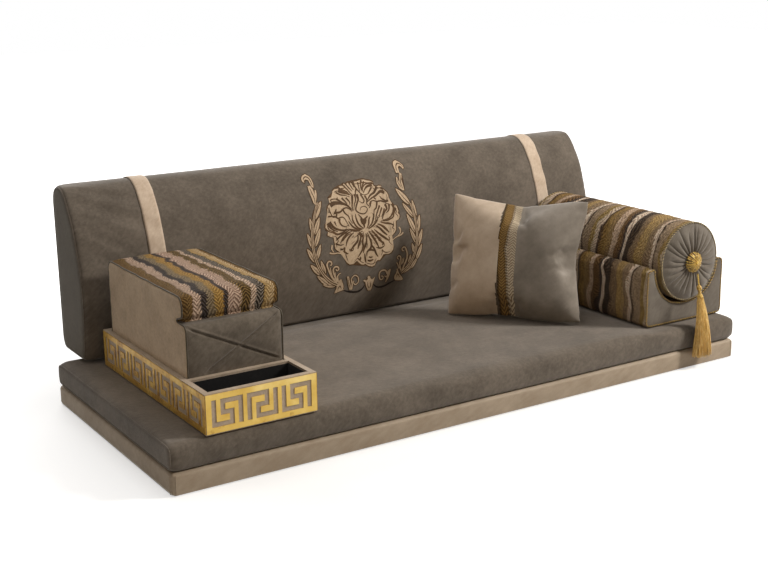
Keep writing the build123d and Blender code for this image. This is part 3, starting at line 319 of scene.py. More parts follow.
# the pillow's braid: bronze herringbone, then a pale wavy edge
materials["pillowBraid"] = stripedCloth("pillowBraid", {
    "turn": (0, 0, 0.9023), "shift": (-0.212, 0, 0), "repeat": 200,
    "wanderScale": (2, 2, 9), "wander": 50, "tooth": 1.0, "fray": 2.5, "column": 13,
    "slope": 1.2, "pitch": 11, "hatchShare": 0.85, "boucle": 3, "speck": 0.3, "relief": 1.5,
    "stripes": [(0.0, "54432c", "66512f", "2f2416"), (0.03, "8d6f40", "97794a", "4c3820"),
                (0.125, "8a6d42", "75603f", "3f3020"), (0.155, "4a3e31", "57493a", "c2b29a"),
                (0.172, "cbbba2", "d2c3ab", "6b5a47"), (0.40, "5b5044", "5b5044", "5b5044")]})
# hanging rayon threads, streaked with painted highlights along their length and painted shade
# between them
materials["tasselThread"] = napCloth("tasselThread", {
    "dark": "946b30", "mid": "dcb05a", "light": "ffeaa8", "cloud": 30,
    "stroke": (90, 2.4), "turn": (0, 1.5708, 0), "grain": 2.0, "bump": 0.3,
    "rough": 0.42, "sheen": 0.2, "strokeShare": 0.8, "spread": 0.2, "specular": 0.5})
gimp = {"turn": (0.5, 0.6, 0.4), "ply": 2.4, "patch": 8, "patchShare": 0.5, "metal": 0.25}
yarns = {
    # bright gold gimp of the rosette
    "goldGimp": dict(gimp, patch=9, patchShare=0.4, dark="8c5f14", mid="cf9f2c",
                     light="f2d468", rough=0.38),
    # the softer, duller yarn of the tassel's head
    "goldTassel": dict(gimp, turn=(0.2, 0.3, 0.2), ply=3.0, patch=14, patchShare=0.6,
                       dark="7c5a20", mid="b68f3b", light="dcb85f", rough=0.42, metal=0.2),
    # dark bronze ply beside the gold one in the welts, and the shade under the loops
    "bronzePly": dict(gimp, dark="221708", mid="3d2b12", light="5b431f", rough=0.6,
                      metal=0.0),
    # the paler gold plies of the bolster's welts, and the deeper ones of the cradle's
    "antiqueWelt": dict(gimp, dark="5b4a29", mid="a58c56", light="dccb98", rough=0.4,
                        metal=0.2),
    "antiqueGold": dict(gimp, patch=12, dark="7a5c1c", mid="b58e33", light="e0bd60",
                        rough=0.4),
    # worn brass of the zip sliders
    "zipMetal": dict(gimp, turn=(0, 0, 0), ply=6, patch=5, patchShare=0.8, dark="8a6a34",
                     mid="b08d46", light="cfae68", rough=0.3, metal=1.0)}
for name, look in yarns.items():
    materials[name] = goldYarn(name, look)


def giltPlate(name, look):
    # leaf gilding on a plate: bright patches, brown stains and rougher spots
    material, tree, shader, place = newMaterial(name)
    sweep = addNode(tree, "TexNoise", {"Vector": place, "Scale": 1000 / 90, "Detail": 4.0,
                                       "Roughness": 0.6})
    gold = addNode(tree, "ValToRGB", {0: sweep.outputs[0]}, stops=[
        (0.3, look["dark"]), (0.5, look["mid"]), (0.7, look["light"])])
    stains = addNode(tree, "TexNoise", {"Vector": place, "Scale": 1000 / 26, "Detail": 6.0,
                                        "Roughness": 0.7})
    mask = addNode(tree, "MapRange", {0: stains.outputs[0], 1: look["stainFrom"],
                                      2: look["stainFrom"] + 0.16, 3: 0.0, 4: 0.85})
    worn = addNode(tree, "Mix", {0: mask.outputs[0], 6: gold.outputs[0],
                                 7: hexColour(look["stain"])}, data_type="RGBA")
    rough = addNode(tree, "MapRange", {0: stains.outputs[0], 1: 0.3, 2: 0.7, 3: 0.32,
                                       4: 0.55})
    bump = addNode(tree, "Bump", {"Height": stains.outputs[0], "Strength": 0.15,
                                  "Distance": 0.0006})
    feed(tree, shader, {"Base Color": worn.outputs[2], "Roughness": rough.outputs[0],
                        "Normal": bump.outputs[0], "Metallic": 0.35})
    return material


materials["giltFront"] = giltPlate("giltFront", {
    "dark": "d3ab48", "mid": "e3c062", "light": "f2d788", "stain": "a97a34",
    "stainFrom": 0.62})
# the side frets: the same gilding made darker, its stains darker and spread wider, as painted
# shade of the sides turned from the key light
materials["giltSide"] = giltPlate("giltSide", {
    "dark": "a67c2b", "mid": "c79c3e", "light": "dfbb5c", "stain": "7a4f20",
    "stainFrom": 0.5})
print("materials ready:", len(materials))


# place in metres, angles in degrees, lens in mm
cameraLook = {"position": (-2.13537, -3.16162, 1.31330), "azimuth": -32.759,
              "elevation": 14.836, "roll": -0.628, "lens": 59.67, "sensor": 36}
a, e, r = (math.radians(cameraLook[k]) for k in ("azimuth", "elevation", "roll"))
backward = Vector((math.sin(a) * math.cos(e), -math.cos(a) * math.cos(e), math.sin(e)))
rightward = Vector((math.cos(a), math.sin(a), 0))
upward = backward.cross(rightward)
rolledRight = rightward * math.cos(r) + upward * math.sin(r)
rolledUp = upward * math.cos(r) - rightward * math.sin(r)
camera = bpy.data.objects.new("camera", bpy.data.cameras.new("camera"))
camera.data.sensor_width = cameraLook["sensor"]
camera.data.lens = cameraLook["lens"]
turned = Matrix((rolledRight, rolledUp, backward)).transposed().to_4x4()
camera.matrix_world = Matrix.Translation(cameraLook["position"]) @ turned
scene.collection.objects.link(camera)
scene.camera = camera
scene.view_settings.view_transform = "Standard"


def areaLight(name, place, aim, size, power, colour):
    light = bpy.data.lights.new(name, "AREA")
    light.size = size
    light.energy = power
    light.color = hexColour(colour)[:3]
    lamp = bpy.data.objects.new(name, light)
    lamp.location = place
    lamp.rotation_euler = (Vector(aim) - Vector(place)).to_track_quat("-Z", "Y").to_euler()
    scene.collection.objects.link(lamp)


# each lamp's place, what it aims at, its size, its watts and its colour
lamps = {"keyLight": ((3.6, -2.5, 3.4), (0, 0, 0.25), 0.9, 242, "fffaf3"),
         "fillLight": ((-3.0, -3.6, 2.0), (0, 0, 0.2), 2.6, 8, "fff0e0"),
         "topLight": ((-0.4, 0.1, 3.8), (0, 0, 0), 2.4, 50, "ffffff"),
         "backLight": ((0.2, 3.8, 2.2), (0, 0.3, 0.3), 2.4, 75, "ffffff")}
for name, row in lamps.items():
    areaLight(name, *row)


def seenBy(tree, kinds):
    # 1 for rays of these kinds and 0 for others
    rays = addNode(tree, "LightPath").outputs
    seen = rays[kinds[0]]
    for kind in kinds[1:]:
        seen = addNode(tree, "Math", {0: seen, 1: rays[kind]}, operation="MAXIMUM").outputs[0]
    return seen


# a white room for the eye, and a dimmer, warmer one that lights the sofa
room = {"shown": "ffffff", "lit": "ead4b6", "litStrength": 0.175}
world = bpy.data.worlds.new("studio")
scene.world = world
world.use_nodes = True
tree = world.node_tree
tree.nodes.clear()
shown = addNode(tree, "Background", {"Color": hexColour(room["shown"]), "Strength": 1.0})
lit = addNode(tree, "Background", {"Color": hexColour(room["lit"]),
                                   "Strength": room["litStrength"]})
chosen = addNode(tree, "MixShader", {
    0: seenBy(tree, ("Is Camera Ray", "Is Glossy Ray", "Is Transmission Ray")),
    1: lit.outputs[0], 2: shown.outputs[0]})
addNode(tree, "OutputWorld", {0: chosen.outputs[0]})

# seamless white paper: its own white grows away from the sofa, so only the shadow shows
paper = {"half": 14, "colour": (0.58, 0.58, 0.575, 1), "rough": 0.8, "glowFrom": (0.9, 0.5),
         "glowTo": (2.0, 1.0)}
floorPaint, tree, shader, place = newMaterial("studioPaper")
away = addNode(tree, "VectorMath", {0: place}, operation="LENGTH")
glow = addNode(tree, "MapRange", {0: away.outputs["Value"], 1: paper["glowFrom"][0],
                                  2: paper["glowTo"][0], 3: paper["glowFrom"][1],
                                  4: paper["glowTo"][1]})
whiter = addNode(tree, "Math", {0: glow.outputs[0],
                                1: seenBy(tree, ("Is Camera Ray", "Is Glossy Ray"))},
                 operation="MULTIPLY")
feed(tree, shader, {"Base Color": paper["colour"], "Roughness": paper["rough"],
                    "Emission Color": (1, 1, 1, 1), "Emission Strength": whiter.outputs[0]})
half = paper["half"]
floorMesh = bpy.data.meshes.new("floor")
floorMesh.from_pydata([(-half, -half, 0), (half, -half, 0), (half, half, 0), (-half, half, 0)],
                      [], [(0, 1, 2, 3)])
floorMesh.materials.append(floorPaint)
floor = bpy.data.objects.new("floor", floorMesh)
scene.collection.objects.link(floor)
print("camera, light and floor ready")


def outlineRing(corners, inset=0.0, step=12.0, arcSteps=7):
    # points round a closed outline of corners (u, v, radius), each radius a tangent arc
    count = len(corners)
    places = [Vector((u, v)) for u, v, _ in corners]
    heads = [(places[(i + 1) % count] - places[i]).normalized() for i in range(count)]
    arcs = []
    for i in range(count):
        come, go = heads[i - 1], heads[i]
        turn = come.x * go.y - come.y * go.x
        inward = Vector((-come.y - go.y, come.x + go.x))
        corner = places[i] + inward * (inset / (1 + come.dot(go)))
        radius = corners[i][2]
        if not radius:
            arcs.append([corner])
            continue
        radius = max(radius - math.copysign(inset, turn), 0.5)
        half = math.atan2(abs(turn), 1 + come.dot(go))
        start = corner - come * (radius * math.tan(half))
        side = math.copysign(1, turn)
        centre = start + Vector((-come.y, come.x)) * side * radius
        arm = start - centre
        arc = []
        for k in range(arcSteps + 1):
            angle = side * 2 * half * k / arcSteps
            arc.append(centre + Vector((arm.x * math.cos(angle) - arm.y * math.sin(angle),
                                        arm.x * math.sin(angle) + arm.y * math.cos(angle))))
        arcs.append(arc)
    ring = []
    for i in range(count):
        ring += arcs[i]
        start, end = arcs[i][-1], arcs[(i + 1) % count][0]
        nominal = (places[(i + 1) % count] - places[i]).length
        pieces = max(1, round(nominal / step))
        ring += [start.lerp(end, k / pieces) for k in range(1, pieces)]
    return ring


def crossRing(x, corners, inset=0.0, **spacing):
    # a section (y, z) in mm as a ring at the place x
    return [(x * mm, y * mm, z * mm) for y, z in outlineRing(corners, inset, **spacing)]


def circleRing(centre, radius, count, tall=1.0):
    # an upright circle that faces the front, its centre and radius in mm
    x, y, z = centre
    return [((x + radius * math.cos(t)) * mm, y * mm, (z + radius * math.sin(t) * tall) * mm)
            for t in np.linspace(0, 2 * math.pi, count, endpoint=False)]


def meshObject(name, verts, faces, material=None):
    mesh = bpy.data.meshes.new(name)
    mesh.from_pydata([tuple(v) for v in verts], [], faces)
    mesh.update()
    piece = bpy.data.objects.new(name, mesh)
    scene.collection.objects.link(piece)
    for item in material if isinstance(material, (list, tuple)) else [material]:
        if item:
            mesh.materials.append(materials[item])
    return piece


def shadeSmooth(piece):
    piece.data.shade_smooth()
    return piece


def facedOutward(piece):
    form = bmesh.new()
    form.from_mesh(piece.data)
    bmesh.ops.recalc_face_normals(form, faces=form.faces)
    form.to_mesh(piece.data)
    form.free()
    return piece


def tubeFaces(rings, sides, first=0, closed=False):
    # quads between neighbouring rings of a tube whose points start at number first
    faces = []
    for i in range(rings if closed else rings - 1):
        near, far = first + i * sides, first + (i + 1) % rings * sides
        for k in range(sides):
            m = (k + 1) % sides
            faces.append((near + k, near + m, far + m, far + k))
    return faces


def lofted(name, rings, material=None, caps=True):
    count = len(rings[0])
    faces = tubeFaces(len(rings), count)
    if caps:
        faces.append(tuple(range(count))[::-1])
        faces.append(tuple(range((len(rings) - 1) * count, len(rings) * count)))
    return facedOutward(meshObject(name, [v for ring in rings for v in ring], faces, material))


def baked(piece):
    # the mesh with its modifiers applied
    graph = bpy.context.evaluated_depsgraph_get()
    old = piece.data
    paints = list(old.materials)
    fresh = bpy.data.meshes.new_from_object(piece.evaluated_get(graph))
    piece.modifiers.clear()
    piece.data = fresh
    fresh.materials.clear()
    for paint in paints:
        fresh.materials.append(paint)
    return piece


def coordinates(piece, what="co"):
    # every point's place, or with "normal" its normal, as rows of three
    values = np.empty(len(piece.data.vertices) * 3)
    piece.data.vertices.foreach_get(what, values)
    return values.reshape(-1, 3)


def moveTo(piece, spots):
    piece.data.vertices.foreach_set("co", np.ascontiguousarray(spots, float).ravel())
    piece.data.update()


def pushOut(piece, amounts):
    # each point moved out along its normal, by so many mm
    moveTo(piece, coordinates(piece) + coordinates(piece, "normal") * (amounts * mm)[:, None])


def remeshed(piece, voxel):
    modifier = piece.modifiers.new("remesh", "REMESH")
    modifier.mode = "VOXEL"
    modifier.voxel_size = voxel * mm
    baked(piece)
    relax = piece.modifiers.new("relax", "SMOOTH")
    relax.factor = 0.5
    relax.iterations = 4
    return baked(piece)


def inflated(piece, cloth, pinned):
    # the cover under air pressure in the cloth solver, its travel capped softly at cap mm
    rest = coordinates(piece)
    group = piece.vertex_groups.new(name="held")
    group.add([int(i) for i in np.nonzero(pinned(rest))[0]], 1.0, "REPLACE")
    modifier = piece.modifiers.new("cloth", "CLOTH")
    settings = modifier.settings
    settings.vertex_group_mass = "held"
    settings.use_pressure = True
    settings.uniform_pressure_force = cloth["pressure"]
    settings.effector_weights.gravity = 0
    settings.tension_stiffness = cloth["stiffness"]
    settings.compression_stiffness = cloth["stiffness"]
    settings.shear_stiffness = 5
    settings.bending_stiffness = cloth.get("bending", 0.6)
    settings.quality = 4
    frames = cloth.get("frames", 20)
    modifier.point_cache.frame_start = 1
    modifier.point_cache.frame_end = frames
    for number in range(1, frames + 1):
        scene.frame_set(number)
        pushed = piece.evaluated_get(bpy.context.evaluated_depsgraph_get())
    travel = coordinates(pushed) - rest
    piece.modifiers.clear()
    piece.vertex_groups.clear()
    scene.frame_set(1)
    reach = np.linalg.norm(travel, axis=1, keepdims=True)
    cap = cloth["cap"] * mm
    print(piece.name, "cloth moved", round(float(reach.max()) / mm, 1), "mm at most, mean",
          round(float(reach.mean()) / mm, 1))
    moveTo(piece, rest + travel * np.tanh(reach / cap) * cap / np.maximum(reach, 1e-9))
    return piece


def refined(piece):
    relax = piece.modifiers.new("relax", "SMOOTH")
    relax.factor = 0.5
    relax.iterations = 2
    finer = piece.modifiers.new("finer", "SUBSURF")
    finer.levels = finer.render_levels = 1
    return shadeSmooth(baked(piece))


def cushionFrom(name, rings, paints, shape, pinned):
    # the cut cover meshed evenly, filled with air and smoothed
    piece = remeshed(lofted(name, rings, paints), shape["voxel"])
    return refined(inflated(piece, shape, pinned))


def surfaceOf(piece):
    return BVHTree.FromPolygons([v.co for v in piece.data.vertices],
                                [p.vertices for p in piece.data.polygons])


def onSurface(tree, spot, away, lift=0.0):
    # the spot dropped onto the cloth against the direction away, then lifted by lift mm
    spot, away = Vector(spot), Vector(away).normalized()
    hit, normal, _, _ = tree.ray_cast(spot + away * 0.08, -away, 0.2)
    if hit is None:
        hit, normal, _, _ = tree.find_nearest(spot)
    if normal.dot(away) < 0:
        normal = -normal
    return hit + normal * lift * mm


def paintBy(piece, chooser):
    # material slots picked by each face's middle
    mesh = piece.data
    middles = np.empty(len(mesh.polygons) * 3)
    mesh.polygons.foreach_get("center", middles)
    mesh.polygons.foreach_set("material_index",
                              chooser(middles.reshape(-1, 3)).astype(np.int32))
    mesh.update()


def ripple(spots, size, seed=0.0):
    # smooth noise from -1 to 1 at each point, waves of about size mm
    k = 1000 / size
    return np.array([noise.noise((x * k + seed, y * k - seed, z * k + 2 * seed))
                     for x, y, z in spots])


def waves(spots, rows):
    # ripples added up, each given by its size, its seed and its height in mm
    return sum(ripple(spots, size, seed) * height for size, seed, height in rows)


def millimetres(spots):
    return (spots[:, i] / mm for i in range(3))


def ramp(values, start, width):
    # from 0 at the start to 1 after the width, downwards where the width is negative
    return np.clip((values - start) / width, 0, 1)


def beyond(values, limits):
    return (values < limits[0]) | (values > limits[1])


def outsideBox(spots, box):
    # true for the points outside a box of three pairs of limits in mm
    outside = np.zeros(len(spots), bool)
    for values, limits in zip(millimetres(spots), box):
        outside |= beyond(values, limits)
    return outside


def rope(name, path, radius, twist, material, strands=2, sides=6, closed=True):
    # a welt cord: strands laid round one another along a path, one turn in twist mm
    path = [Vector(p) for p in path]
    spots = path + ([path[0]] if closed else [])
    lengths = [0.0]
    for p, q in zip(spots, spots[1:]):
        lengths.append(lengths[-1] + (q - p).length)
    total = lengths[-1]
    turns = max(1, round(total / (twist * mm)))
    count = turns * 6
    ring = []
    j = 0
    for i in range(count if closed else count + 1):
        along = total * i / count
        while j < len(lengths) - 2 and lengths[j + 1] < along:
            j += 1
        span = max(lengths[j + 1] - lengths[j], 1e-9)
        ring.append(spots[j].lerp(spots[j + 1], (along - lengths[j]) / span))
    verts, faces, plies = [], [], []
    size = len(ring)
    reference = Vector((0.31, 0.17, 0.93))  # a direction that no welt follows for long
    offset, share = (0.5, 0.62) if strands > 1 else (0.0, 1.0)
    for s in range(strands):
        first = len(verts)
        for i, middle in enumerate(ring):
            ahead = ring[(i + 1) % size] if closed else ring[min(i + 1, size - 1)]
            behind = ring[i - 1] if closed else ring[max(i - 1, 0)]
            heading = (ahead - behind).normalized()
            u = heading.cross(reference)
            if u.length < 0.2:
                u = heading.cross(Vector((1, 0, 0)))
            u.normalize()
            v = heading.cross(u)
            angle = 2 * math.pi * (turns * i / count + s / strands)
            core = middle + (u * math.cos(angle) + v * math.sin(angle)) * radius * offset * mm
            thick = radius * share * mm
            for k in range(sides):
                b = 2 * math.pi * k / sides
                verts.append(core + (u * math.cos(b) + v * math.sin(b)) * thick)
        faces += tubeFaces(size, sides, first, closed)
        plies += [s] * (len(faces) - len(plies))
    piece = shadeSmooth(meshObject(name, verts, faces, material))
    if isinstance(material, (list, tuple)):
        piece.data.polygons.foreach_set("material_index", plies)
    return piece


def tube(name, path, radius, material, closed=True, sides=8):
    return rope(name, path, radius, 30, material, strands=1, sides=sides, closed=closed)


def endWelt(name, skin, x, shape, outline):
    # a welt round the sewn end at x, dropped onto the cloth towards the cushion's heart
    path = []
    for y, z in outline:
        out = Vector((0, y - shape["heart"][0], z - shape["heart"][1]))
        spot = onSurface(skin, (x * mm, y * mm, z * mm), out, shape["weltLift"])
        path.append((x * mm, spot.y, spot.z))
    return tube(name, path, shape["weltRadius"], "taupeSuede")


def done(piece, body, replaced=()):
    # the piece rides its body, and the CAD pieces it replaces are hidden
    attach(piece, body)
    if replaced:
        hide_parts(*replaced)
    return piece


def smoothStep(t):
    t = min(max(t, 0.0), 1.0)
    return t * t * (3 - 2 * t)


def endDraw(place, shape):
    # how far the outline is pulled in towards the sewn ends
    near = min(place - shape["span"][0], shape["span"][1] - place)
    return shape["draw"] * (1 - smoothStep(near / shape["drawLength"]))


def evenly(span, step, edges=(0, 6, 14, 24)):
    # station places, close together at both ends
    start, end = span
    count = max(1, round((end - start) / step))
    inner = [start + edges[-1] + (end - start - 2 * edges[-1]) * i / count
             for i in range(count + 1)]
    return [start + v for v in edges[:-1]] + inner + [end - v for v in edges[:-1]][::-1]


def boxCorners(shape):
    # a plain section (y, z, radius): two corners at the foot and two at the top
    return [(shape["front"], shape["bottom"], shape["foot"]),
            (shape["back"], shape["bottom"], shape["foot"]),
            (shape["back"], shape["top"], shape["edge"]),
            (shape["front"], shape["top"], shape["edge"])]


# the plinth's cover; every measure in the pieces' dictionaries is in mm
plinth = {"span": (-1000, 1000), "front": -414, "back": 414, "bottom": 2.2, "top": 60,
          "edge": 11, "foot": 3, "stations": (0, 1.2, 4, 8, 12), "slack": 0.8,
          "waves": ((90, 3.1, 0.7), (30, 7.7, 0.35)), "slackBetween": (4, 59),
          "seams": ((-999.2, -402), (-988, -413.4), (988, -413.4)),
          "seamHeights": (4, 20, 40, 56), "seamRadius": 0.9}
rings = []
for x in evenly(plinth["span"], 25, plinth["stations"]):
    near = min(x - plinth["span"][0], plinth["span"][1] - x)
    edge = plinth["edge"]
    inset = edge - math.sqrt(max(0, edge ** 2 - max(0, edge - near) ** 2))
    rings.append(crossRing(x, boxCorners(plinth), inset, step=24))
base = lofted("plinthCover", rings, "leatherette")
spots = coordinates(base)
free = np.clip((60 * mm - np.abs(spots[:, 2] - 30 * mm)) / (30 * mm), 0, 1)
low, high = plinth["slackBetween"]
free[(spots[:, 2] < low * mm) | (spots[:, 2] > high * mm)] = 0
pushOut(base, -(plinth["slack"] + waves(spots, plinth["waves"])) * free)
shadeSmooth(base)
done(base, "base", ["base_cover"])
for index, (x, y) in enumerate(plinth["seams"]):
    path = [(x * mm, y * mm, z * mm) for z in plinth["seamHeights"]]
    seam = tube(f"plinthSeam{index}", path, plinth["seamRadius"], "leatherette",
                closed=False, sides=6)
    done(seam, "base")
print("plinth ready")

# the mattress: a boxed cushion, drawn in at its welted ends
seat = {"span": (-1000, 1000), "front": -414, "back": 414, "bottom": 60.6, "top": 137.2,
        "edge": 26, "foot": 12, "draw": 3, "drawLength": 22, "inset": 0.6,
        "free": ((-985, 985), (-999, 400), (68, 999)), "topFrom": 130,
        "voxel": 9, "pressure": 1.2, "cap": 6, "stiffness": 14,
        "open": (-573, 657), "openTo": 285, "openFront": -300,
        "waves": ((260, 1.3, 1.8), (90, 5.2, 0.7)),
        "welts": (-996.9, 996.9), "weltRadius": 2.3, "weltLift": 0.4, "heart": (0, 99)}


def openSeat(spots):
    # 1 on the free part of the seat's top, falling to 0 under what stands on it
    x, y, _ = millimetres(spots)
    left, right = seat["open"]
    share = ramp(x, left, 90) * ramp(x, right, -90) * ramp(y, seat["openTo"], -90)
    front = ramp(y, seat["openFront"], -60)
    return np.maximum(share, front * ramp(x, left, 60) * ramp(x, right, -60))


def seatPinned(spots):
    # the foot, the ends, the rear, and the top where something stands on it
    loaded = (spots[:, 2] / mm > seat["topFrom"]) & (openSeat(spots) <= 0.01)
    return outsideBox(spots, seat["free"]) | loaded


rings = [crossRing(x, boxCorners(seat), endDraw(x, seat) + seat["inset"], step=30)
         for x in evenly(seat["span"], 40)]
mattress = cushionFrom("seatMattress", rings, "taupeSuede", seat, seatPinned)
# shallow hollows of use on the open seat, small pulls along the front edge and the end
spots = coordinates(mattress)
x, y, z = millimetres(spots)
swell = openSeat(spots) * waves(spots, seat["waves"])
aboveFoot = ramp(z, 66, 8)
frontFace = ramp(y, -396, -12) * aboveFoot
pulls = frontFace * (np.abs(ripple(spots * (1, 0.2, 0.35), 46, 8.8)) * -1.6 + 0.3)
leftEnd = ramp(x, -980, -14) * aboveFoot
pulls += leftEnd * np.abs(ripple(spots * (0.2, 1, 0.3), 60, 4.4)) * -1.4
pushOut(mattress, swell + pulls)
done(mattress, "mattress", ["seat_cover", "seat_end_panels", "seat_foam_core"])
seatSkin = surfaceOf(mattress)
outline = outlineRing(boxCorners(seat), 0.0, step=24, arcSteps=8)
for index, x in enumerate(seat["welts"]):
    welt = endWelt(f"seatWelt{index}", seatSkin, x, seat, outline)
    done(welt, "mattress", ["seat_piping"])
print("seat ready")

# the backrest: thick at the foot, rolled over at the crest, and crowned along its length;
# crowns are shares of the length and of the crown
back = {"span": (-945, 995), "bottom": 138.1, "depth": 231, "height": 522.4, "rear": 516,
        "draw": 4, "drawLength": 34, "inset": 1.5, "crown": 12,
        "crowns": ((0, 0), (0.1, 0.36), (0.25, 0.75), (0.5, 1), (0.75, 0.75), (0.9, 0.36),
                   (1, 0)),
        "free": ((-930, 980), (-999, 505), (150, 999)),
        "voxel": 10, "pressure": 0.9, "cap": 3, "stiffness": 16,
        "waves": ((300, 2.2, 1.2), (110, 9.1, 0.5)), "slack": 0.4, "ends": (-941.2, 991.2),
        "welts": (-941.5, 991.5), "weltRadius": 2.4, "weltLift": 0.5, "heart": (400, 400)}


def backCorners(crown):
    b = back
    bulge = b["crown"] * crown
    top = b["bottom"] + b["height"]
    return [
        (b["rear"] - 0.85 * b["depth"], b["bottom"], 20),
        (b["rear"], b["bottom"], 35),
        (b["rear"], b["bottom"] + 0.99 * b["height"], 50),
        (b["rear"] - 0.42 * b["depth"], top, 60),
        (b["rear"] - 0.73 * b["depth"] - 0.6 * bulge, b["bottom"] + 0.81 * b["height"], 350),
        (b["rear"] - b["depth"] - bulge, b["bottom"] + 0.41 * b["height"], 450),
    ]


rings = []
for x in evenly(back["span"], 45):
    share = (x - back["span"][0]) / (back["span"][1] - back["span"][0])
    crown = float(np.interp(share, *zip(*back["crowns"])))
    rings.append(crossRing(x, backCorners(crown), endDraw(x, back) + back["inset"], step=30,
                           arcSteps=9))
backrest = cushionFrom("backrestCushion", rings, ["taupeSuede", "paleSuede"], back,
                       lambda spots: outsideBox(spots, back["free"]))
spots = coordinates(backrest)
x, y, z = millimetres(spots)
quiet = ramp(y, back["free"][1][1], -40) * ramp(z, back["free"][2][0], 60)
pushOut(backrest, quiet * waves(spots, back["waves"]) - back["slack"])
# the end panels take the darker suede: painted shade of the backrest's ends
paintBy(backrest, lambda m: beyond(m[:, 0] / mm, back["ends"]))
done(backrest, "backrest",
     ["backrest_cover", "backrest_end_panels", "backrest_foam_core"])
backSkin = surfaceOf(backrest)
outline = outlineRing(backCorners(0), back["draw"], step=24, arcSteps=9)
for index, x in enumerate(back["welts"]):
    welt = endWelt(f"backrestWelt{index}", backSkin, x, back, outline)
    done(welt, "backrest", ["backrest_piping"])

# pale bands from the foot of the front over the crest to the foot of the back
band = {"width": 52, "thick": 1.6, "hem": 0.9, "offsets": (-728, 752), "columns": 8,
        "from": 3}
ringOut = outlineRing(backCorners(0.4), 0, step=10, arcSteps=14)
upTo = [p for p in ringOut if p.y > back["bottom"] + band["from"]]
# the outline starts again after the gap at its foot
begin = max(range(len(upTo)), key=lambda i: (upTo[i] - upTo[i - 1]).length)
upTo = upTo[begin:] + upTo[:begin]
for index, left in enumerate(band["offsets"]):
    rows = []
    for i, p in enumerate(upTo):
        before, after = upTo[max(i - 1, 0)], upTo[min(i + 1, len(upTo) - 1)]
        heading = (after - before).normalized()
        away = Vector((0, heading.y, -heading.x))
        row = []
        for k in range(band["columns"] + 1):
            x = left + band["width"] * k / band["columns"]
            edge = band["hem"] if k in (0, band["columns"]) else 0.0
            row.append(onSurface(backSkin, (x * mm, p.x * mm, p.y * mm), away,
                                 band["thick"] - edge))
        rows.append(row)
    wide = band["columns"] + 1
    verts = [v for row in rows for v in row]
    faces = [(i * wide + k, i * wide + k + 1, (i + 1) * wide + k + 1, (i + 1) * wide + k)
             for i in range(len(rows) - 1) for k in range(wide - 1)]
    strap = meshObject(f"backrestBand{index}", verts, faces, "strapSuede")
    thicken = strap.modifiers.new("thicken", "SOLIDIFY")
    thicken.thickness = band["thick"] * mm
    thicken.offset = -1.0
    shadeSmooth(baked(strap))
    done(strap, "backrest", ["backrest_straps"])
print("backrest ready")
# the medallion in satin stitch: an outline, its level and its thread for each patch
random.seed(11)
flower, wreath = [], []
pale, brown, black = 0, 1, 2
stitch = {"under": 0.25, "perLevel": 0.32, "cuts": (200, 640, 14), "shades": 54,
          "rimBorder": 4.2, "heart": (19, 424)}


def pairs(row):
    return [Vector(row[i:i + 2]) for i in range(0, len(row), 2)]


def filledPatch(store, outline, level, border):
    # a filled form with a brown border that follows its own outline
    count = len(outline)
    area = sum(outline[i - 1].cross(outline[i]) for i in range(count))
    grown = []
    for i, p in enumerate(outline):
        heading = (outline[(i + 1) % count] - outline[i - 1]).normalized()
        away = Vector((heading.y, -heading.x)) * (1 if area > 0 else -1)
        grown.append(p + away * border)
    store.append((grown, level, brown))
    store.append((outline, level + 0.5, pale))


def leafPatch(store, foot, tip, width, level=1.2, border=2.0):
    # a spear leaf from its foot on the stem: brown border, pale thread and a brown rib
    foot, tip = Vector(foot), Vector(tip)
    length = (tip - foot).length
    ahead = (tip - foot) / length
    aside = Vector((-ahead.y, ahead.x))

    def at(along, across):
        return foot + ahead * (along * length) + aside * (across * width / 2)

    def outline(grow):
        right, left = [], []
        for i in range(15):
            t = i / 14
            rim = math.sin(math.pi * t ** 0.8) ** 0.75 + grow * 2 / width
            reach = -grow / length + t * (1 + 2 * grow / length)
            right.append(at(reach, -rim))
            left.append(at(reach, rim))
        return right + left[-2::-1]

    store.append((outline(border), level, brown))
    store.append((outline(0.0), level + 0.5, pale))
    rib = [at(0.02, 0), at(0.3, 0.10), at(0.6, 0.08), at(0.86, 0)]
    strokePatch(store, rib, max(width * 0.2, 1.3), level + 0.4, 0.3, brown, 0)


def strokePatch(store, points, width, level=1, finish=0.25, colour=pale, border=2.0,
                both=False):
    # a bent line of thread with a brown border, narrowed at its end or at both ends
    points = [Vector(p) for p in points]
    fine = []
    for i in range(len(points) - 1):
        p0, p1 = points[max(i - 1, 0)], points[i]
        p2, p3 = points[i + 1], points[min(i + 2, len(points) - 1)]
        for k in range(5):
            t = k / 5
            fine.append(0.5 * (2 * p1 + (p2 - p0) * t + (2 * p0 - 5 * p1 + 4 * p2 - p3) * t ** 2
                               + (3 * p1 - p0 - 3 * p2 + p3) * t ** 3))
    fine.append(points[-1])
    layers = ((border, 0.0, brown), (0.0, 0.5, colour)) if border else ((0.0, 0.5, colour),)
    for grow, lift, paint in layers:
        right, left = [], []
        for i, p in enumerate(fine):
            heading = (fine[min(i + 1, len(fine) - 1)] - fine[max(i - 1, 0)]).normalized()
            aside = Vector((-heading.y, heading.x))
            t = i / (len(fine) - 1)
            share = 1 - (1 - finish) * t
            if both:
                share = max(0.22, math.sin(math.pi * (0.06 + 0.88 * t)) ** 0.8)
            half = width / 2 * share + grow
            right.append(p - aside * half)
            left.append(p + aside * half)
        # short quads, so that a line may cross itself
        for i in range(len(fine) - 1):
            store.append(([right[i], right[i + 1], left[i + 1], left[i]], level + lift, paint))


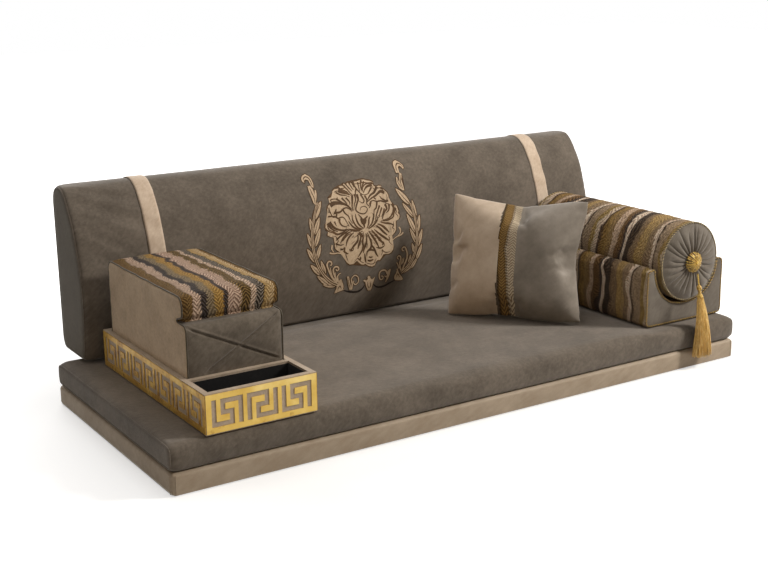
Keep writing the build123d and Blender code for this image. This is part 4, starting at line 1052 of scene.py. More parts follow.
# places across and up the backrest in millimetres: the flower's rim of curled lobes, and
# the brown folds that part its petals, each with its width first
flowerRim = [
    9, 578, 25, 578, 42, 581, 52, 581, 64, 577, 76, 574, 85, 569, 82, 564, 84, 557, 92, 555,
    102, 557, 112, 555, 109, 549, 119, 542, 128, 533, 131, 522, 128, 513, 123, 505, 131, 501,
    139, 497, 144, 490, 154, 489, 157, 480, 159, 471, 155, 465, 160, 458, 159, 450, 152, 443,
    142, 441, 139, 434, 140, 425, 134, 418, 139, 413, 133, 405, 125, 398, 118, 394, 114, 390,
    118, 381, 114, 375, 116, 368, 124, 360, 122, 350, 114, 340, 103, 336, 91, 338, 83, 346, 82,
    337, 76, 328, 69, 320, 59, 321, 53, 315, 50, 305, 39, 302, 25, 306, 17, 312, 12, 316, 7,
    313, -3, 315, -13, 323, -20, 330, -24, 328, -33, 321, -47, 321, -57, 328, -64, 341, -67,
    351, -57, 351, -71, 357, -76, 367, -87, 370, -98, 379, -100, 391, -94, 400, -99, 409, -101,
    417, -113, 420, -122, 426, -120, 433, -110, 435, -122, 441, -126, 451, -124, 461, -115, 466,
    -113, 473, -102, 480, -89, 480, -101, 483, -107, 494, -108, 505, -104, 514, -95, 521, -87,
    523, -94, 531, -96, 538, -85, 540, -71, 539, -66, 543, -74, 552, -74, 558, -65, 563, -53,
    563, -44, 570, -32, 570, -26, 576, -19, 573, -11, 577, -3, 573, 5, 578]
flowerFolds = [
    (2.9, 11, 579, 11, 567, 17, 554, 27, 541, 36, 535),
    (2.1, -33, 572, -21, 560, -10, 544, -4, 540), (1.8, -20, 573, -11, 561, -2, 550),
    (1.8, -6, 574, -1, 563, 4, 553), (1.6, 3, 578, 7, 568, 8, 561),
    (2.1, -48, 562, -35, 557, -22, 550, -12, 538),
    (6.1, -51, 554, -37, 550, -23, 545, -17, 540),
    (1.8, -62, 550, -49, 544, -34, 541, -16, 534), (2.1, 27, 571, 26, 559, 26, 547),
    (2.5, 42, 576, 34, 563, 33, 550), (2.1, 51, 571, 37, 558, 35, 546),
    (2.5, 81, 563, 67, 568, 53, 566, 42, 558, 36, 546),
    (3.9, 76, 558, 58, 559, 46, 551, 38, 541), (1.8, 72, 552, 59, 541, 52, 536, 36, 535),
    (1.8, 15, 552, 8, 545, 9, 532, 12, 521), (4.6, 92, 552, 79, 539, 61, 531, 48, 519),
    (5.3, 115, 531, 105, 539, 96, 536, 81, 528, 64, 522, 46, 513),
    (1.4, 105, 549, 114, 542, 117, 533),
    (2.5, 123, 506, 110, 506, 97, 510, 82, 510, 67, 514, 56, 510, 48, 500),
    (1.6, 96, 526, 104, 515, 118, 509), (1.4, 72, 523, 81, 516),
    (2.1, 57, 510, 53, 498, 46, 492), (2.5, 79, 507, 75, 491, 65, 483, 61, 463),
    (2.5, 86, 494, 77, 478, 68, 462, 63, 445), (2.1, 93, 487, 86, 472, 81, 460),
    (3.9, 107, 496, 115, 484, 105, 475, 94, 459, 90, 451), (3.6, 123, 494, 122, 479, 110, 470),
    (4.6, 134, 495, 142, 483, 135, 467, 117, 452, 92, 449),
    (3.2, 146, 481, 139, 466, 133, 454, 110, 446, 84, 447), (1.4, 102, 484, 96, 469, 88, 459),
    (8.2, -92, 514, -82, 521, -67, 521, -48, 517, -32, 509, -19, 495),
    (2.9, -65, 531, -54, 524, -43, 517), (2.9, -45, 531, -37, 522, -31, 513),
    (2.5, -30, 530, -22, 520, -22, 510), (3.9, -5, 535, -11, 519, -15, 505, -15, 490),
    (1.8, -75, 504, -80, 496, -89, 487),
    (2.9, -80, 490, -64, 492, -52, 499, -39, 503, -27, 498, -19, 489),
    (2.1, -48, 496, -47, 488, -35, 476, -32, 465, -24, 451),
    (2.1, -73, 486, -80, 479, -75, 474, -60, 476, -51, 471, -44, 456, -38, 444),
    (1.8, -106, 482, -91, 482, -82, 481), (3.6, -66, 471, -71, 461, -63, 449, -46, 443),
    (2.1, -86, 465, -85, 450), (6.1, -105, 465, -100, 452, -87, 442, -65, 435, -47, 437),
    (3.9, -113, 462, -108, 448, -97, 439, -83, 433),
    (3.6, -98, 435, -87, 425, -69, 427, -53, 433, -40, 436),
    (1.8, -123, 446, -115, 437, -101, 431), (1.8, 3, 537, 3, 524, -6, 508, -11, 492),
    (2.3, 13, 536, 13, 525, 6, 513, 0, 503, -3, 491, 8, 481, 25, 477, 37, 484, 40, 493, 30,
     500, 16, 497, 12, 489),
    (2.0, 25, 534, 33, 523, 33, 515, 25, 511, 14, 519),
    (2.5, 39, 529, 45, 520, 42, 507, 48, 498),
    (2.1, 2, 478, 10, 468, 18, 459, 33, 466, 36, 470), (6.8, 9, 465, 17, 448, 29, 460),
    (2.5, 17, 448, 18, 440, 19, 433), (2.1, 17, 431, 5, 439, -4, 451, -8, 466, -8, 481),
    (2.1, 13, 430, -6, 436, -17, 450, -22, 464, -21, 480),
    (2.1, 8, 428, -12, 433, -28, 445, -38, 461), (1.8, 26, 430, 36, 444, 39, 457, 46, 466),
    (2.1, 29, 430, 46, 441, 54, 453, 59, 465, 58, 476),
    (2.1, 31, 427, 51, 436, 66, 447, 76, 461), (1.8, 2, 426, -23, 428, -40, 434),
    (2.1, -40, 432, -62, 424, -82, 414, -95, 405),
    (2.1, -31, 428, -50, 422, -67, 410, -79, 394), (2.1, 79, 445, 98, 439, 121, 434, 133, 426),
    (3.6, 70, 440, 87, 431, 100, 419, 111, 407), (3.2, 61, 435, 75, 426, 91, 409, 103, 399),
    (2.5, -24, 423, -41, 413, -53, 399, -59, 382),
    (3.2, -9, 419, -12, 398, -18, 390, -35, 375, -43, 363),
    (2.9, 1, 420, -1, 401, -11, 380, -15, 368),
    (2.9, 11, 419, 9, 404, 5, 387, 6, 371, -6, 353, -16, 341),
    (2.9, 21, 416, 21, 394, 17, 381, 8, 364, 5, 352),
    (3.2, 26, 417, 34, 396, 38, 378, 34, 365, 20, 354, 18, 339),
    (3.6, 32, 421, 45, 402, 57, 382, 66, 363), (3.6, 43, 424, 59, 404, 75, 384, 90, 369),
    (3.2, 54, 424, 72, 407, 97, 388, 109, 380), (2.9, 38, 376, 47, 362, 54, 345, 62, 332),
    (2.1, 21, 358, 39, 358, 54, 352), (1.8, 25, 337, 33, 334, 41, 335),
    (2.9, 20, 327, 31, 323, 44, 326), (2.9, -6, 342, -8, 329), (2.5, 10, 351, 12, 332, 15, 318),
    (1.8, 55, 365, 73, 360, 90, 367), (2.1, -45, 374, -35, 366, -30, 374),
    (2.5, -62, 380, -66, 366, -56, 360), (2.1, -93, 398, -79, 389, -66, 390),
    (2.9, -78, 378, -70, 375, -65, 381), (2.5, 75, 382, 85, 376, 79, 368),
    (5.3, -5, 422, 0, 414, 9, 404), (1.8, -84, 412, -68, 420, -49, 426),
    (1.8, -68, 403, -51, 416, -34, 422)]
sprigs = [
    (3.9, 152, 419, 156, 410, 153, 399, 142, 391),
    (3.6, 166, 400, 156, 393, 136, 388, 117, 377), (3.9, -109, 393, -112, 381, -105, 369),
    (3.6, -121, 369, -106, 365, -89, 365, -74, 358)]
ring = pairs(flowerRim)
middle = sum(ring, Vector((0, 0))) / len(ring)
flower.append(([p + (p - middle).normalized() * stitch["rimBorder"] for p in ring], 1.0, brown))
flower.append((ring, 1.5, pale))
for row in flowerFolds:
    fold = pairs(row[1:])
    out = (fold[0] - middle).length
    if out > (fold[-1] - middle).length and out > 70:
        # a fold that starts at the rim notches it
        fold[0] += (fold[0] - middle).normalized() * 4
        strokePatch(flower, fold, row[0] * 1.4 + 3.4, 2.0, finish=0.3, colour=brown, border=0)
    else:
        strokePatch(flower, fold, row[0] * 1.5 + 3.0, 2.0, colour=brown, border=0, both=True)
# each lobe of the rim has a curved fold just inside it
for start in range(0, len(ring) - 5, 7):
    lobe = [p + (middle - p).normalized() * (6 + 3 * math.sin(math.pi * k / 5))
            for k, p in enumerate(ring[start:start + 6])]
    strokePatch(flower, lobe, 3.4, 1.9, colour=brown, border=0, both=True)
# fine shading stitches that fan out under the flower's heart
for k in range(stitch["shades"]):
    angle = math.radians(random.uniform(150, 395))
    ray = Vector((math.cos(angle), math.sin(angle)))
    start = Vector(stitch["heart"]) + ray * random.uniform(6, 60)
    strokePatch(flower, [start, start + ray * random.uniform(9, 24)], random.uniform(1.2, 2.4),
                2.1, colour=brown, border=0, both=True)
for row in sprigs:
    strokePatch(flower, pairs(row[1:]), row[0] * 1.5, 0.6, finish=0.4)

# the wreath: leaves as width, foot and tip; stems; tips, fans, feet, scrolls and tulip
wreathLeaves = [
    (8.1, -174, 434, -177, 486), (8.7, -179, 388, -195, 439), (9.2, -176, 346, -202, 393),
    (9.8, -156, 301, -193, 340), (9.2, -124, 261, -169, 300), (9.2, -98, 255, -146, 266),
    (11.9, -165, 478, -126, 532), (9.2, -169, 434, -142, 485), (9.2, -173, 396, -146, 451),
    (8.1, -170, 354, -152, 401), (8.1, -139, 302, -155, 349),
    (7.1, 225, 445, 219, 500), (8.7, 222, 391, 239, 450), (8.7, 221, 345, 243, 403),
    (8.7, 216, 301, 238, 352), (8.1, 195, 272, 220, 308), (7.1, 159, 261, 203, 281),
    (11.9, 208, 487, 165, 542), (8.7, 214, 445, 180, 494), (9.8, 216, 392, 189, 459),
    (8.7, 217, 356, 194, 411), (7.6, 210, 322, 198, 360), (7.1, 187, 287, 192, 322)]
wreathStems = [
    (-92, 259, -116, 272, -144, 299, -165, 333, -176, 366, -180, 400,
     -178, 432, -170, 463, -158, 493, -147, 517, -138, 530),
    (157, 263, 178, 278, 197, 300, 210, 327, 218, 361, 221, 395, 220,
     429, 216, 463, 210, 490)]
wreathScrolls = [
    (4.1, -95, 265, -115, 290, -128, 316, -133, 333, -126, 342, -117, 339, -116, 330, -122, 329),
    (3.8, -92, 269, -105, 293, -110, 311, -105, 320, -94, 320, -89, 312, -95, 307, -100, 312),
    (3.3, -89, 268, -93, 286, -87, 295, -81, 296), (3.0, -110, 281, -118, 304, -121, 321),
    (3.0, -102, 277, -102, 302), (3.3, -81, 275, -70, 246, -84, 236, -100, 230),
    (3.3, -82, 273, -92, 256, -88, 243), (3.8, -54, 280, -48, 258, -40, 233),
    (3.0, -35, 232, -35, 253, -39, 270, -28, 281, -15, 274, -11, 257, -22, 248, -31, 257, -29,
     263),
    (3.8, 9, 258, 21, 250, 26, 232, 35, 220, 42, 228, 44, 248, 51, 262),
    (6.0, 30, 268, 30, 250), (3.3, 32, 247, 35, 229), (3.8, 111, 281, 107, 258, 97, 239),
    (3.3, 101, 267, 92, 281, 75, 281, 69, 268, 74, 252, 84, 251, 85, 260, 77, 263),
    (3.0, 105, 267, 98, 257, 91, 262), (3.3, 139, 279, 148, 260, 164, 238, 136, 240),
    (3.3, 141, 265, 132, 253, 136, 241),
    (4.1, 159, 265, 166, 286, 177, 310, 177, 331, 169, 350, 158, 348, 159, 340, 165, 339),
    (3.8, 155, 271, 149, 296, 152, 317, 143, 324, 138, 317, 144, 312),
    (3.3, 148, 279, 141, 294, 136, 302), (3.0, 161, 295, 165, 315), (3.0, 156, 292, 158, 313)]
# filled forms: both curled tips and the branch under them, tulip, feet and hooks
leafForms = [
    (-139, 574, -136, 586, -137, 599, -142, 609, -153, 616, -165, 612, -172, 604, -172, 597,
     -166, 591, -165, 598, -157, 601, -149, 598, -146, 589, -145, 578),
    (185, 589, 185, 602, 185, 613, 190, 622, 201, 626, 212, 620, 221, 610, 222, 602, 218, 597,
     213, 604, 208, 609, 200, 605, 196, 596, 198, 588),
    (-159, 581, -148, 581, -143, 568, -143, 557, -141, 541, -147, 523, -153, 530, -152, 548,
     -159, 565),
    (-137, 568, -133, 566, -135, 553, -141, 536, -142, 544, -141, 557),
    (196, 589, 204, 584, 200, 573, 192, 561, 195, 548, 198, 532, 188, 535, 184, 552, 190, 571),
    (179, 577, 183, 574, 182, 562, 188, 543, 191, 533, 181, 541, 175, 557),
    (10, 261, 19, 255, 25, 260, 23, 269, 29, 272, 36, 261, 41, 257, 52, 261, 46, 247, 44, 230,
     40, 218, 29, 219, 21, 234, 16, 251),
    (-101, 229, -93, 253, -82, 275, -71, 250, -67, 236, -83, 233),
    (131, 244, 136, 262, 140, 278, 149, 258, 167, 237, 148, 237),
    (-56, 282, -49, 280, -44, 258, -40, 246, -34, 232, -44, 233, -51, 255),
    (101, 277, 112, 284, 110, 266, 107, 251, 98, 237, 96, 243, 102, 258)]
formFolds = [
    (3.4, -167, 599, -163, 605, -154, 608, -145, 602, -142, 590, -141, 580),
    (3.4, 219, 603, 214, 612, 204, 616, 196, 611, 191, 600, 192, 591),
    (2.6, -153, 575, -151, 561, -147, 545, -148, 529),
    (2.6, 199, 582, 193, 567, 190, 555, 193, 538),
    (2.2, 180, 568, 182, 555, 188, 542),
    (2.6, 24, 251, 27, 236, 32, 227),
    (2.6, 38, 250, 37, 234, 35, 226),
    (3.0, -89, 241, -82, 253, -75, 240),
    (3.0, 139, 249, 143, 261, 153, 247),
    (2.2, -52, 276, -48, 255, -41, 239)]
swags = [
    (4.1, -68, 235, -44, 226, -15, 221, 4, 227, 14, 240),
    (4.1, 48, 239, 64, 226, 89, 224, 116, 233, 137, 240)]
for index, row in enumerate(wreathLeaves):
    leafPatch(wreath, row[1:3], row[3:5], row[0] * 1.55, 1.2 + 0.08 * (index % 4), 3.0)
for row in wreathStems:
    strokePatch(wreath, pairs(row), 10, 2.2, finish=0.5, border=2.4)
    strokePatch(wreath, pairs(row), 3.2, 2.8, finish=0.5, colour=brown, border=0)
for row in wreathScrolls:
    strokePatch(wreath, pairs(row[1:]), row[0] * 1.55, 2.4, finish=0.6, border=2.4)
for row in leafForms:
    filledPatch(wreath, pairs(row), 2.5, 2.6)
for row in formFolds:
    strokePatch(wreath, pairs(row[1:]), row[0], 3.2, colour=brown, border=0, both=True)
for row in swags:
    strokePatch(wreath, pairs(row[1:]), row[0] * 1.7, 1.0, colour=black, border=0,
                both=True)


def stitched(name, store, replaced):
    # the patches laid on the cloth, each a hair over the one before it
    form = bmesh.new()
    layer = form.verts.layers.float.new("level")
    for index, (outline, level, paint) in enumerate(store):
        corners = []
        for u, v in outline:
            vert = form.verts.new((u * mm, 0, v * mm))
            vert[layer] = level + 0.0015 * (index % 60)
            corners.append(vert)
        form.faces.new(corners).material_index = paint
    bmesh.ops.triangulate(form, faces=[f for f in form.faces if len(f.verts) > 4])
    for z in range(*stitch["cuts"]):
        bmesh.ops.bisect_plane(form, geom=form.verts[:] + form.edges[:] + form.faces[:],
                               plane_co=(0, 0, z * mm), plane_no=(0, 0, 1))
    for vert in form.verts:
        vert.co = onSurface(backSkin, vert.co + Vector((0, 0.3, 0)), (0, -1, 0),
                            stitch["under"] + stitch["perLevel"] * vert[layer])
    bmesh.ops.recalc_face_normals(form, faces=form.faces)
    for face in form.faces:
        if face.normal.y > 0:
            face.normal_flip()
    piece = meshObject(name, [], [], ["paleThread", "brownThread", "blackThread"])
    form.to_mesh(piece.data)
    form.free()
    done(piece, "backrest", replaced)
    print(name, len(piece.data.polygons), "faces")


stitched("flowerEmbroidery", flower, ["medallion_flower"])
stitched("wreathEmbroidery", wreath, ["medallion_wreath"])

# the arm cushion stands in the tray: its pad overhangs the front, which two pleats cross;
# pleat and valley are a depth and a width, lip a height, a place beside the pleat and a width
arm = {"span": (-878, -592), "front": -265.2, "back": 268.2, "bottom": 146.4, "top": 460.6,
       "tray": 246.8, "padHeight": 72, "setback": 18, "overhang": 3, "notch": 38, "gap": 3,
       "draw": 3, "drawLength": 18, "inset": 1.0, "crown": 5, "crownShare": 0.7,
       "free": ((-873, -597), (-999, 999), (252, 999)), "crease": (384, 394),
       "voxel": 5, "pressure": 3.0, "cap": 3.5, "stiffness": 14,
       "puff": 1.6, "pleat": (5.0, 2.6), "valley": (3.2, 26), "lip": (2.2, 5.5, 3.0),
       "topWaves": ((70, 6.6, 1.2), (28, 2.9, 0.35)), "edgeWaves": ((26, 12.1, 0.8),),
       "edgeWidth": 16, "ends": (-873.2, -596.8), "welts": (-874.6, -595.4),
       "weltRadius": 2.3, "weltLift": 0.5}
shelf = arm["top"] - arm["padHeight"]


def armCorners(crown):
    p = arm
    top = p["top"] + p["crown"] * crown
    nose = p["front"] + p["setback"]
    crease = nose + p["notch"]
    return [
        (p["front"], p["bottom"], 6), (p["back"], p["bottom"], 6),
        (p["back"] - p["overhang"], top, 26), (nose, top, 26),
        (nose, shelf + 12, 14), (crease, shelf + p["gap"], 1.2), (crease, shelf, 1.2),
        (p["front"] - p["overhang"], shelf, 22), (p["front"], p["tray"], 22),
    ]


def armPinned(spots):
    # the part in the tray, both ends, and the crease under the pad
    _, y, z = millimetres(spots)
    low, high = arm["crease"]
    return outsideBox(spots, arm["free"]) | ((z > low) & (z < high) & (y < -200))


rings = []
for x in evenly(arm["span"], 16):
    share = (x - arm["span"][0]) / (arm["span"][1] - arm["span"][0])
    crown = math.sin(math.pi * share) ** 0.8 if 0 < share < 1 else 0
    rings.append(crossRing(x, armCorners(crown * arm["crownShare"]),
                           endDraw(x, arm) + arm["inset"], step=14))
armCushion = cushionFrom("armCushion", rings, ["armStripes", "nubuck", "darkSuede"], arm,
                         armPinned)
spots = coordinates(armCushion)
x, y, z = millimetres(spots)
away = coordinates(armCushion, "normal")
# the crossed pleats pull the front in
onFront = (y < -240) & (z < shelf + 2) & (away[:, 1] < -0.3)
low, high = np.array((-873, 252)), np.array((-597, shelf - 4))
depth, lip = np.zeros(len(spots)), np.zeros(len(spots))
for start, end in (((low[0], high[1] - 4), (high[0] - 8, low[1])),
                   ((high[0] - 4, high[1] + 2), (low[0] + 42, low[1] - 4))):
    run = np.array(end, float) - np.array(start, float)
    reach = np.linalg.norm(run)
    run /= reach
    rel = np.stack([x - start[0], z - start[1]], 1)
    along = rel @ run
    off = rel[:, 0] * run[1] - rel[:, 1] * run[0]
    inside = ramp(along, 0, 20) * ramp(along, reach, -20)
    fold, valley = (size * np.exp(-(off / width) ** 2)
                    for size, width in (arm["pleat"], arm["valley"]))
    depth = np.maximum(depth, inside * (fold + valley))
    lip = np.maximum(lip, inside * np.exp(-((off + arm["lip"][1]) / arm["lip"][2]) ** 2))
puff = onFront * (arm["puff"] - depth + arm["lip"][0] * lip)
# the top's soft lumps, and dimples along the welts
lump = (z > 410) * waves(spots, arm["topWaves"])
nearEnd = np.minimum(x - arm["span"][0], arm["span"][1] - x)
dimple = ramp(nearEnd, arm["edgeWidth"], -arm["edgeWidth"]) * (z > 256)
pushOut(armCushion, puff + lump + dimple * waves(spots, arm["edgeWaves"]))


def armZones(m):
    # 0 the striped cover, 1 the side panels, 2 the front panel
    x, y, z = millimetres(m)
    zone = np.zeros(len(m), int)
    zone[(z < shelf + 1.5) & (y < -215)] = 2
    zone[beyond(x, arm["ends"])] = 1
    return zone


paintBy(armCushion, armZones)
done(armCushion, "arm_cushion",
     ["arm_striped_cover", "arm_left_panel", "arm_right_panel", "arm_front_panel",
      "arm_foam_core"])
armSkin = surfaceOf(armCushion)
outline = outlineRing(armCorners(0), arm["draw"] * 0.7, step=12, arcSteps=8)
for index, x in enumerate(arm["welts"]):
    path = []
    for i, (y, z) in enumerate(outline):
        heading = (outline[(i + 1) % len(outline)] - outline[i - 1]).normalized()
        near = armSkin.find_nearest(Vector((x * mm, y * mm, z * mm)))[0]
        path.append((x * mm, near.y + heading.y * arm["weltLift"] * mm,
                     near.z - heading.x * arm["weltLift"] * mm))
    welt = tube(f"armWelt{index}", path, arm["weltRadius"], "paleSuede")
    done(welt, "arm_cushion", ["arm_piping"])
print("arm cushion ready")

# the cradle of the right arm, whose groove holds the bolster
cradle = {"span": (-354, 286), "left": 657, "right": 996, "bottom": 138.1, "top": 331.0,
          "half": 134, "middle": 828, "axis": 332, "groove": 205.4, "draw": 2,
          "drawLength": 14, "inset": 0.8, "free": ((-999, 999), (-349, 281), (146, 999)),
          "grooveHeld": 136, "voxel": 5, "pressure": 3.0, "cap": 3, "stiffness": 14,
          "waves": ((60, 3.4, 1.3),), "ribs": (36, 1.2), "slack": 0.5,
          "ends": (-349.8, 281.8), "welts": (-351.4, 283.4), "weltRadius": 3.1,
          "weltTwist": 10}
c = cradle
cradleCorners = [
    (c["left"], c["bottom"], 16), (c["right"], c["bottom"], 16),
    (c["right"], c["top"], 20), (c["middle"] + c["half"], c["top"], 8),
    (c["middle"] + c["half"], c["groove"], 117), (c["middle"] - c["half"], c["groove"], 117),
    (c["middle"] - c["half"], c["top"], 8), (c["left"], c["top"], 20)]


def fromGroove(spots):
    x, _, z = millimetres(spots)
    return np.hypot(x - cradle["middle"], z - cradle["axis"])


def cradlePinned(spots):
    # the foot, both ends, and the groove
    return outsideBox(spots, cradle["free"]) | (fromGroove(spots) < cradle["grooveHeld"])


rings = [[(x * mm, y * mm, z * mm) for x, z in outlineRing(
    cradleCorners, endDraw(y, cradle) + cradle["inset"], step=14, arcSteps=12)]
         for y in evenly(cradle["span"], 20)]
cradleForm = cushionFrom("cradleCushion", rings, ["cradleStripes", "plainWeave"], cradle,
                         cradlePinned)
spots = coordinates(cradleForm)
x, y, z = millimetres(spots)
outside = ramp(fromGroove(spots), 138, 12) * ramp(z, 142, 12)
# the fleecy side swells between its stripes
ribs = np.sin((y + 336) / cradle["ribs"][0] * 2 * math.pi) * cradle["ribs"][1]
lump = outside * (waves(spots, cradle["waves"]) + ribs * ramp(x, 700, -20))
pushOut(cradleForm, lump - cradle["slack"])
paintBy(cradleForm, lambda m: beyond(m[:, 1] / mm, cradle["ends"]))
done(cradleForm, "cradle",
     ["cradle_cover", "cradle_front_panel", "cradle_back_panel", "cradle_foam_core"])
cradleSkin = surfaceOf(cradleForm)
outline = outlineRing(cradleCorners, cradle["draw"] * 0.7, step=8, arcSteps=20)
for index, y in enumerate(cradle["welts"]):
    path = []
    for x, z in outline:
        near = cradleSkin.find_nearest(Vector((x * mm, y * mm, z * mm)))[0]
        path.append((near.x, y * mm, near.z))
    welt = rope(f"cradleWelt{index}", path, cradle["weltRadius"], cradle["weltTwist"],
                ["antiqueGold", "bronzePly"])
    done(welt, "cradle", ["cradle_piping"])
print("cradle ready")

# the bolster: a roll with gathered ends, a little taller than wide as it sags between hands
roll = {"x": 828, "z": 337.4, "tall": 1.045, "radius": 125.7, "front": -366, "back": 285,
        "taper": 2.5, "slack": 1.2, "round": 128, "ribs": (40, 0.5),
        "pleats": 25, "land": 117.5, "crown": 13.5, "heart": 12, "overlap": 1.5,
        "pleatGrid": (504, 40), "pleatDepth": 11.5, "pleatFade": 5, "ruche": 2.2,
        "welts": (-363.0, 282.0), "weltAt": 120.6, "weltRadius": 2.9, "weltTwist": 10}
random.seed(5)
rings = []
for y in evenly((roll["front"] + 4, roll["back"] - 4), 8, (0, 3, 6)):
    share = (y - roll["front"]) / (roll["back"] - roll["front"])
    barrel = roll["radius"] - roll["taper"] * (2 * share - 1) ** 2
    ring = []
    for k in range(roll["round"]):
        angle = 2 * math.pi * k / roll["round"]
        spot = Vector((math.cos(angle), math.sin(angle)))
        soft = noise.noise((spot.x * 2.2, spot.y * 2.2, y / 60)) * 1.1
        soft += math.sin((y + 366) / roll["ribs"][0] * 2 * math.pi) * roll["ribs"][1]
        reach = barrel - roll["slack"] + soft * (1 if spot.y > -0.2 else 0.2)
        ring.append(((roll["x"] + spot.x * reach) * mm, y * mm,
                     (roll["z"] + spot.y * reach * roll["tall"]) * mm))
    rings.append(ring)
bolster = shadeSmooth(lofted("bolsterRoll", rings, "bolsterStripes", caps=False))
done(bolster, "bolster", ["bolster_cover", "bolster_core"])


def gatheredEnd(name, y, outward, lively):
    # the end cloth gathered into pleats that run from the button out to the welt
    count, heart = roll["pleats"], roll["heart"]
    edges = np.sort([(k + random.uniform(-0.25, 0.25)) / count for k in range(count)])
    depths = [random.uniform(0.55, 1.0) for _ in range(count)]
    reaches = [random.uniform(0.74, 1.02) for _ in range(count)]
    across, rows = roll["pleatGrid"]
    verts = []
    for i in range(rows + 1):
        radius = heart + (roll["land"] + roll["overlap"] - heart) * i / rows
        u = (radius - heart) / (roll["land"] - heart)
        dome = roll["crown"] * lively * (1 - ((u - 0.42) / 0.58) ** 2 if u > 0.42 else
                                         1 - 0.55 * ((0.42 - u) / 0.42) ** 2)
        for k in range(across):
            turn = k / across
            place = (turn + 0.006 * math.sin(5 * u + 2 * math.pi * turn)) % 1.0
            m = int(np.searchsorted(edges, place)) % count
            before, after = edges[m - 1], edges[m]
            width = (after - before) % 1.0
            s = 2 * (((place - before) % 1.0) / max(width, 1e-6)) - 1
            near = m if s > 0 else (m - 1) % count
            live = smoothStep((reaches[near] + 0.14 - u) / 0.3)
            fold = 1 - math.sqrt(max(0.0, 1 - s * s * 0.985))
            deep = (roll["pleatDepth"] - roll["pleatFade"] * u) * fold ** 0.9 * \
                depths[near] * live * lively
            lift = roll["ruche"] * lively * smoothStep((1.02 - u) / 0.25)
            angle = 2 * math.pi * turn
            verts.append(((roll["x"] + radius * math.cos(angle)) * mm,
                          (y + outward * (dome + lift - deep)) * mm,
                          (roll["z"] + radius * math.sin(angle) * roll["tall"]) * mm))
    faces = tubeFaces(rows + 1, across)
    if outward < 0:
        faces = [(a, d, c, b) for a, b, c, d in faces]
    middle = len(verts)
    verts.append((roll["x"] * mm, (y + outward * roll["crown"] * 0.5 * lively) * mm,
                  roll["z"] * mm))
    faces += [(middle, k, (k + 1) % across) for k in range(across)]
    return shadeSmooth(facedOutward(meshObject(name, verts, faces, "plainWeave")))


front = gatheredEnd("bolsterFrontPleats", roll["front"] + 1.5, -1, 1.0)
done(front, "bolster", ["bolster_front_pleats"])
rear = gatheredEnd("bolsterBackPleats", roll["back"] - 5, 1, 0.28)
done(rear, "bolster", ["bolster_back_pleats"])
for index, y in enumerate(roll["welts"]):
    path = circleRing((roll["x"], y, roll["z"]), roll["weltAt"], 96, roll["tall"])
    welt = rope(f"bolsterWelt{index}", path, roll["weltRadius"], roll["weltTwist"],
                ["antiqueWelt", "bronzePly"])
    done(welt, "bolster", ["bolster_piping"])

# the rosette: loops of gold gimp round a knot, over a dark pad that paints the shade
# under and between the loops; pad and knot are rows of radius and height
rosette = {"z": 338.1, "back": -381.5, "radius": 33, "loops": 26, "rise": 15, "heart": 3,
           "steps": 10, "sides": 6, "curl": 0.62, "tuckFrom": 0.8, "thick": 1.6,
           "pad": ((28, -1), (26, 1), (20, 6), (12, 10), (4, 12)),
           "knot": ((5.5, 15), (6.2, 17), (4.6, 19.2), (1.5, 20.2))}
verts, faces = [], []
heart, curl, tuck = rosette["heart"], math.pi * rosette["curl"], rosette["tuckFrom"]
for i in range(rosette["loops"]):
    angle = 2 * math.pi * (i + random.uniform(-0.2, 0.2)) / rosette["loops"]
    reach = rosette["radius"] * random.uniform(0.88, 1.0)
    ahead = Vector((math.cos(angle), 0, math.sin(angle)))
    aside = Vector((-ahead.z, 0, ahead.x))
    first = len(verts)
    for s in range(rosette["steps"] + 1):
        t = s / rosette["steps"]
        radius = heart + (reach - heart) * math.sin(t * curl) / math.sin(curl)
        if t > tuck:
            radius = reach - (t - tuck) * 12
        depth = rosette["rise"] * (1 - (radius / rosette["radius"]) ** 2) + \
            3.2 * math.sin(math.pi * min(t * 1.15, 1)) - 4 * max(0, t - tuck) * 5 + \
            1.2 * (i % 2)
        core = Vector((roll["x"], rosette["back"] - max(depth, -1.5), rosette["z"])) \
            + ahead * radius
        thick = rosette["thick"] * (0.55 + 0.5 * radius / reach)
        for k in range(rosette["sides"]):
            b = 2 * math.pi * k / rosette["sides"]
            verts.append((core + aside * (math.cos(b) * thick)
                          + Vector((0, math.sin(b) * thick * 0.8, 0))) * mm)
    faces += tubeFaces(rosette["steps"] + 1, rosette["sides"], first)
button = shadeSmooth(meshObject("rosette", verts, faces, "goldGimp"))
done(button, "bolster", ["bolster_button"])
# the dark pad is painted shade under the loops
for name, rows, count, paint in (("rosetteShadePad", rosette["pad"], 32, "bronzePly"),
                                 ("rosetteKnot", rosette["knot"], 16, "goldGimp")):
    rings = [circleRing((roll["x"], rosette["back"] - height, rosette["z"]), radius, count)
             for radius, height in rows]
    done(shadeSmooth(lofted(name, rings, paint)), "bolster")
print("bolster ready")

# the tassel hangs from the rosette's foot and leans out; profile and bindings are rows of
# a place below the cord's foot and a radius, neck and hem the skirt's half width and depth
tassel = {"start": (828, -402, 303.8), "lean": 12.3, "cord": 37, "cordThick": 5,
          "sway": ((0, 0), (0.34, 0.5), (0.7, -0.3), (1, 0)), "head": 39, "foot": 192,
          "swing": 20, "bow": 6, "neck": (8.5, 7.5), "hem": (41, 19), "flare": 0.75,
          "strands": 190, "steps": 12, "thread": 1.5, "wave": 1.6,
          "profile": ((0.6, 3.0), (2, 6.0), (5, 8.6), (9, 9.0), (12, 7.4), (13.5, 5.4),
                      (20, 5.0), (27, 5.4), (31, 7.2), (33.5, 9.2), (36, 9.4), (38.4, 8.2),
                      (39.5, 8.6)),
          "bindings": ((0.8, 4.4), (12.6, 7.0), (31.4, 7.4), (38.6, 8.8))}
leaning = math.radians(tassel["lean"])
down = Vector((0, -math.sin(leaning), -math.cos(leaning)))
top = Vector(tassel["start"])
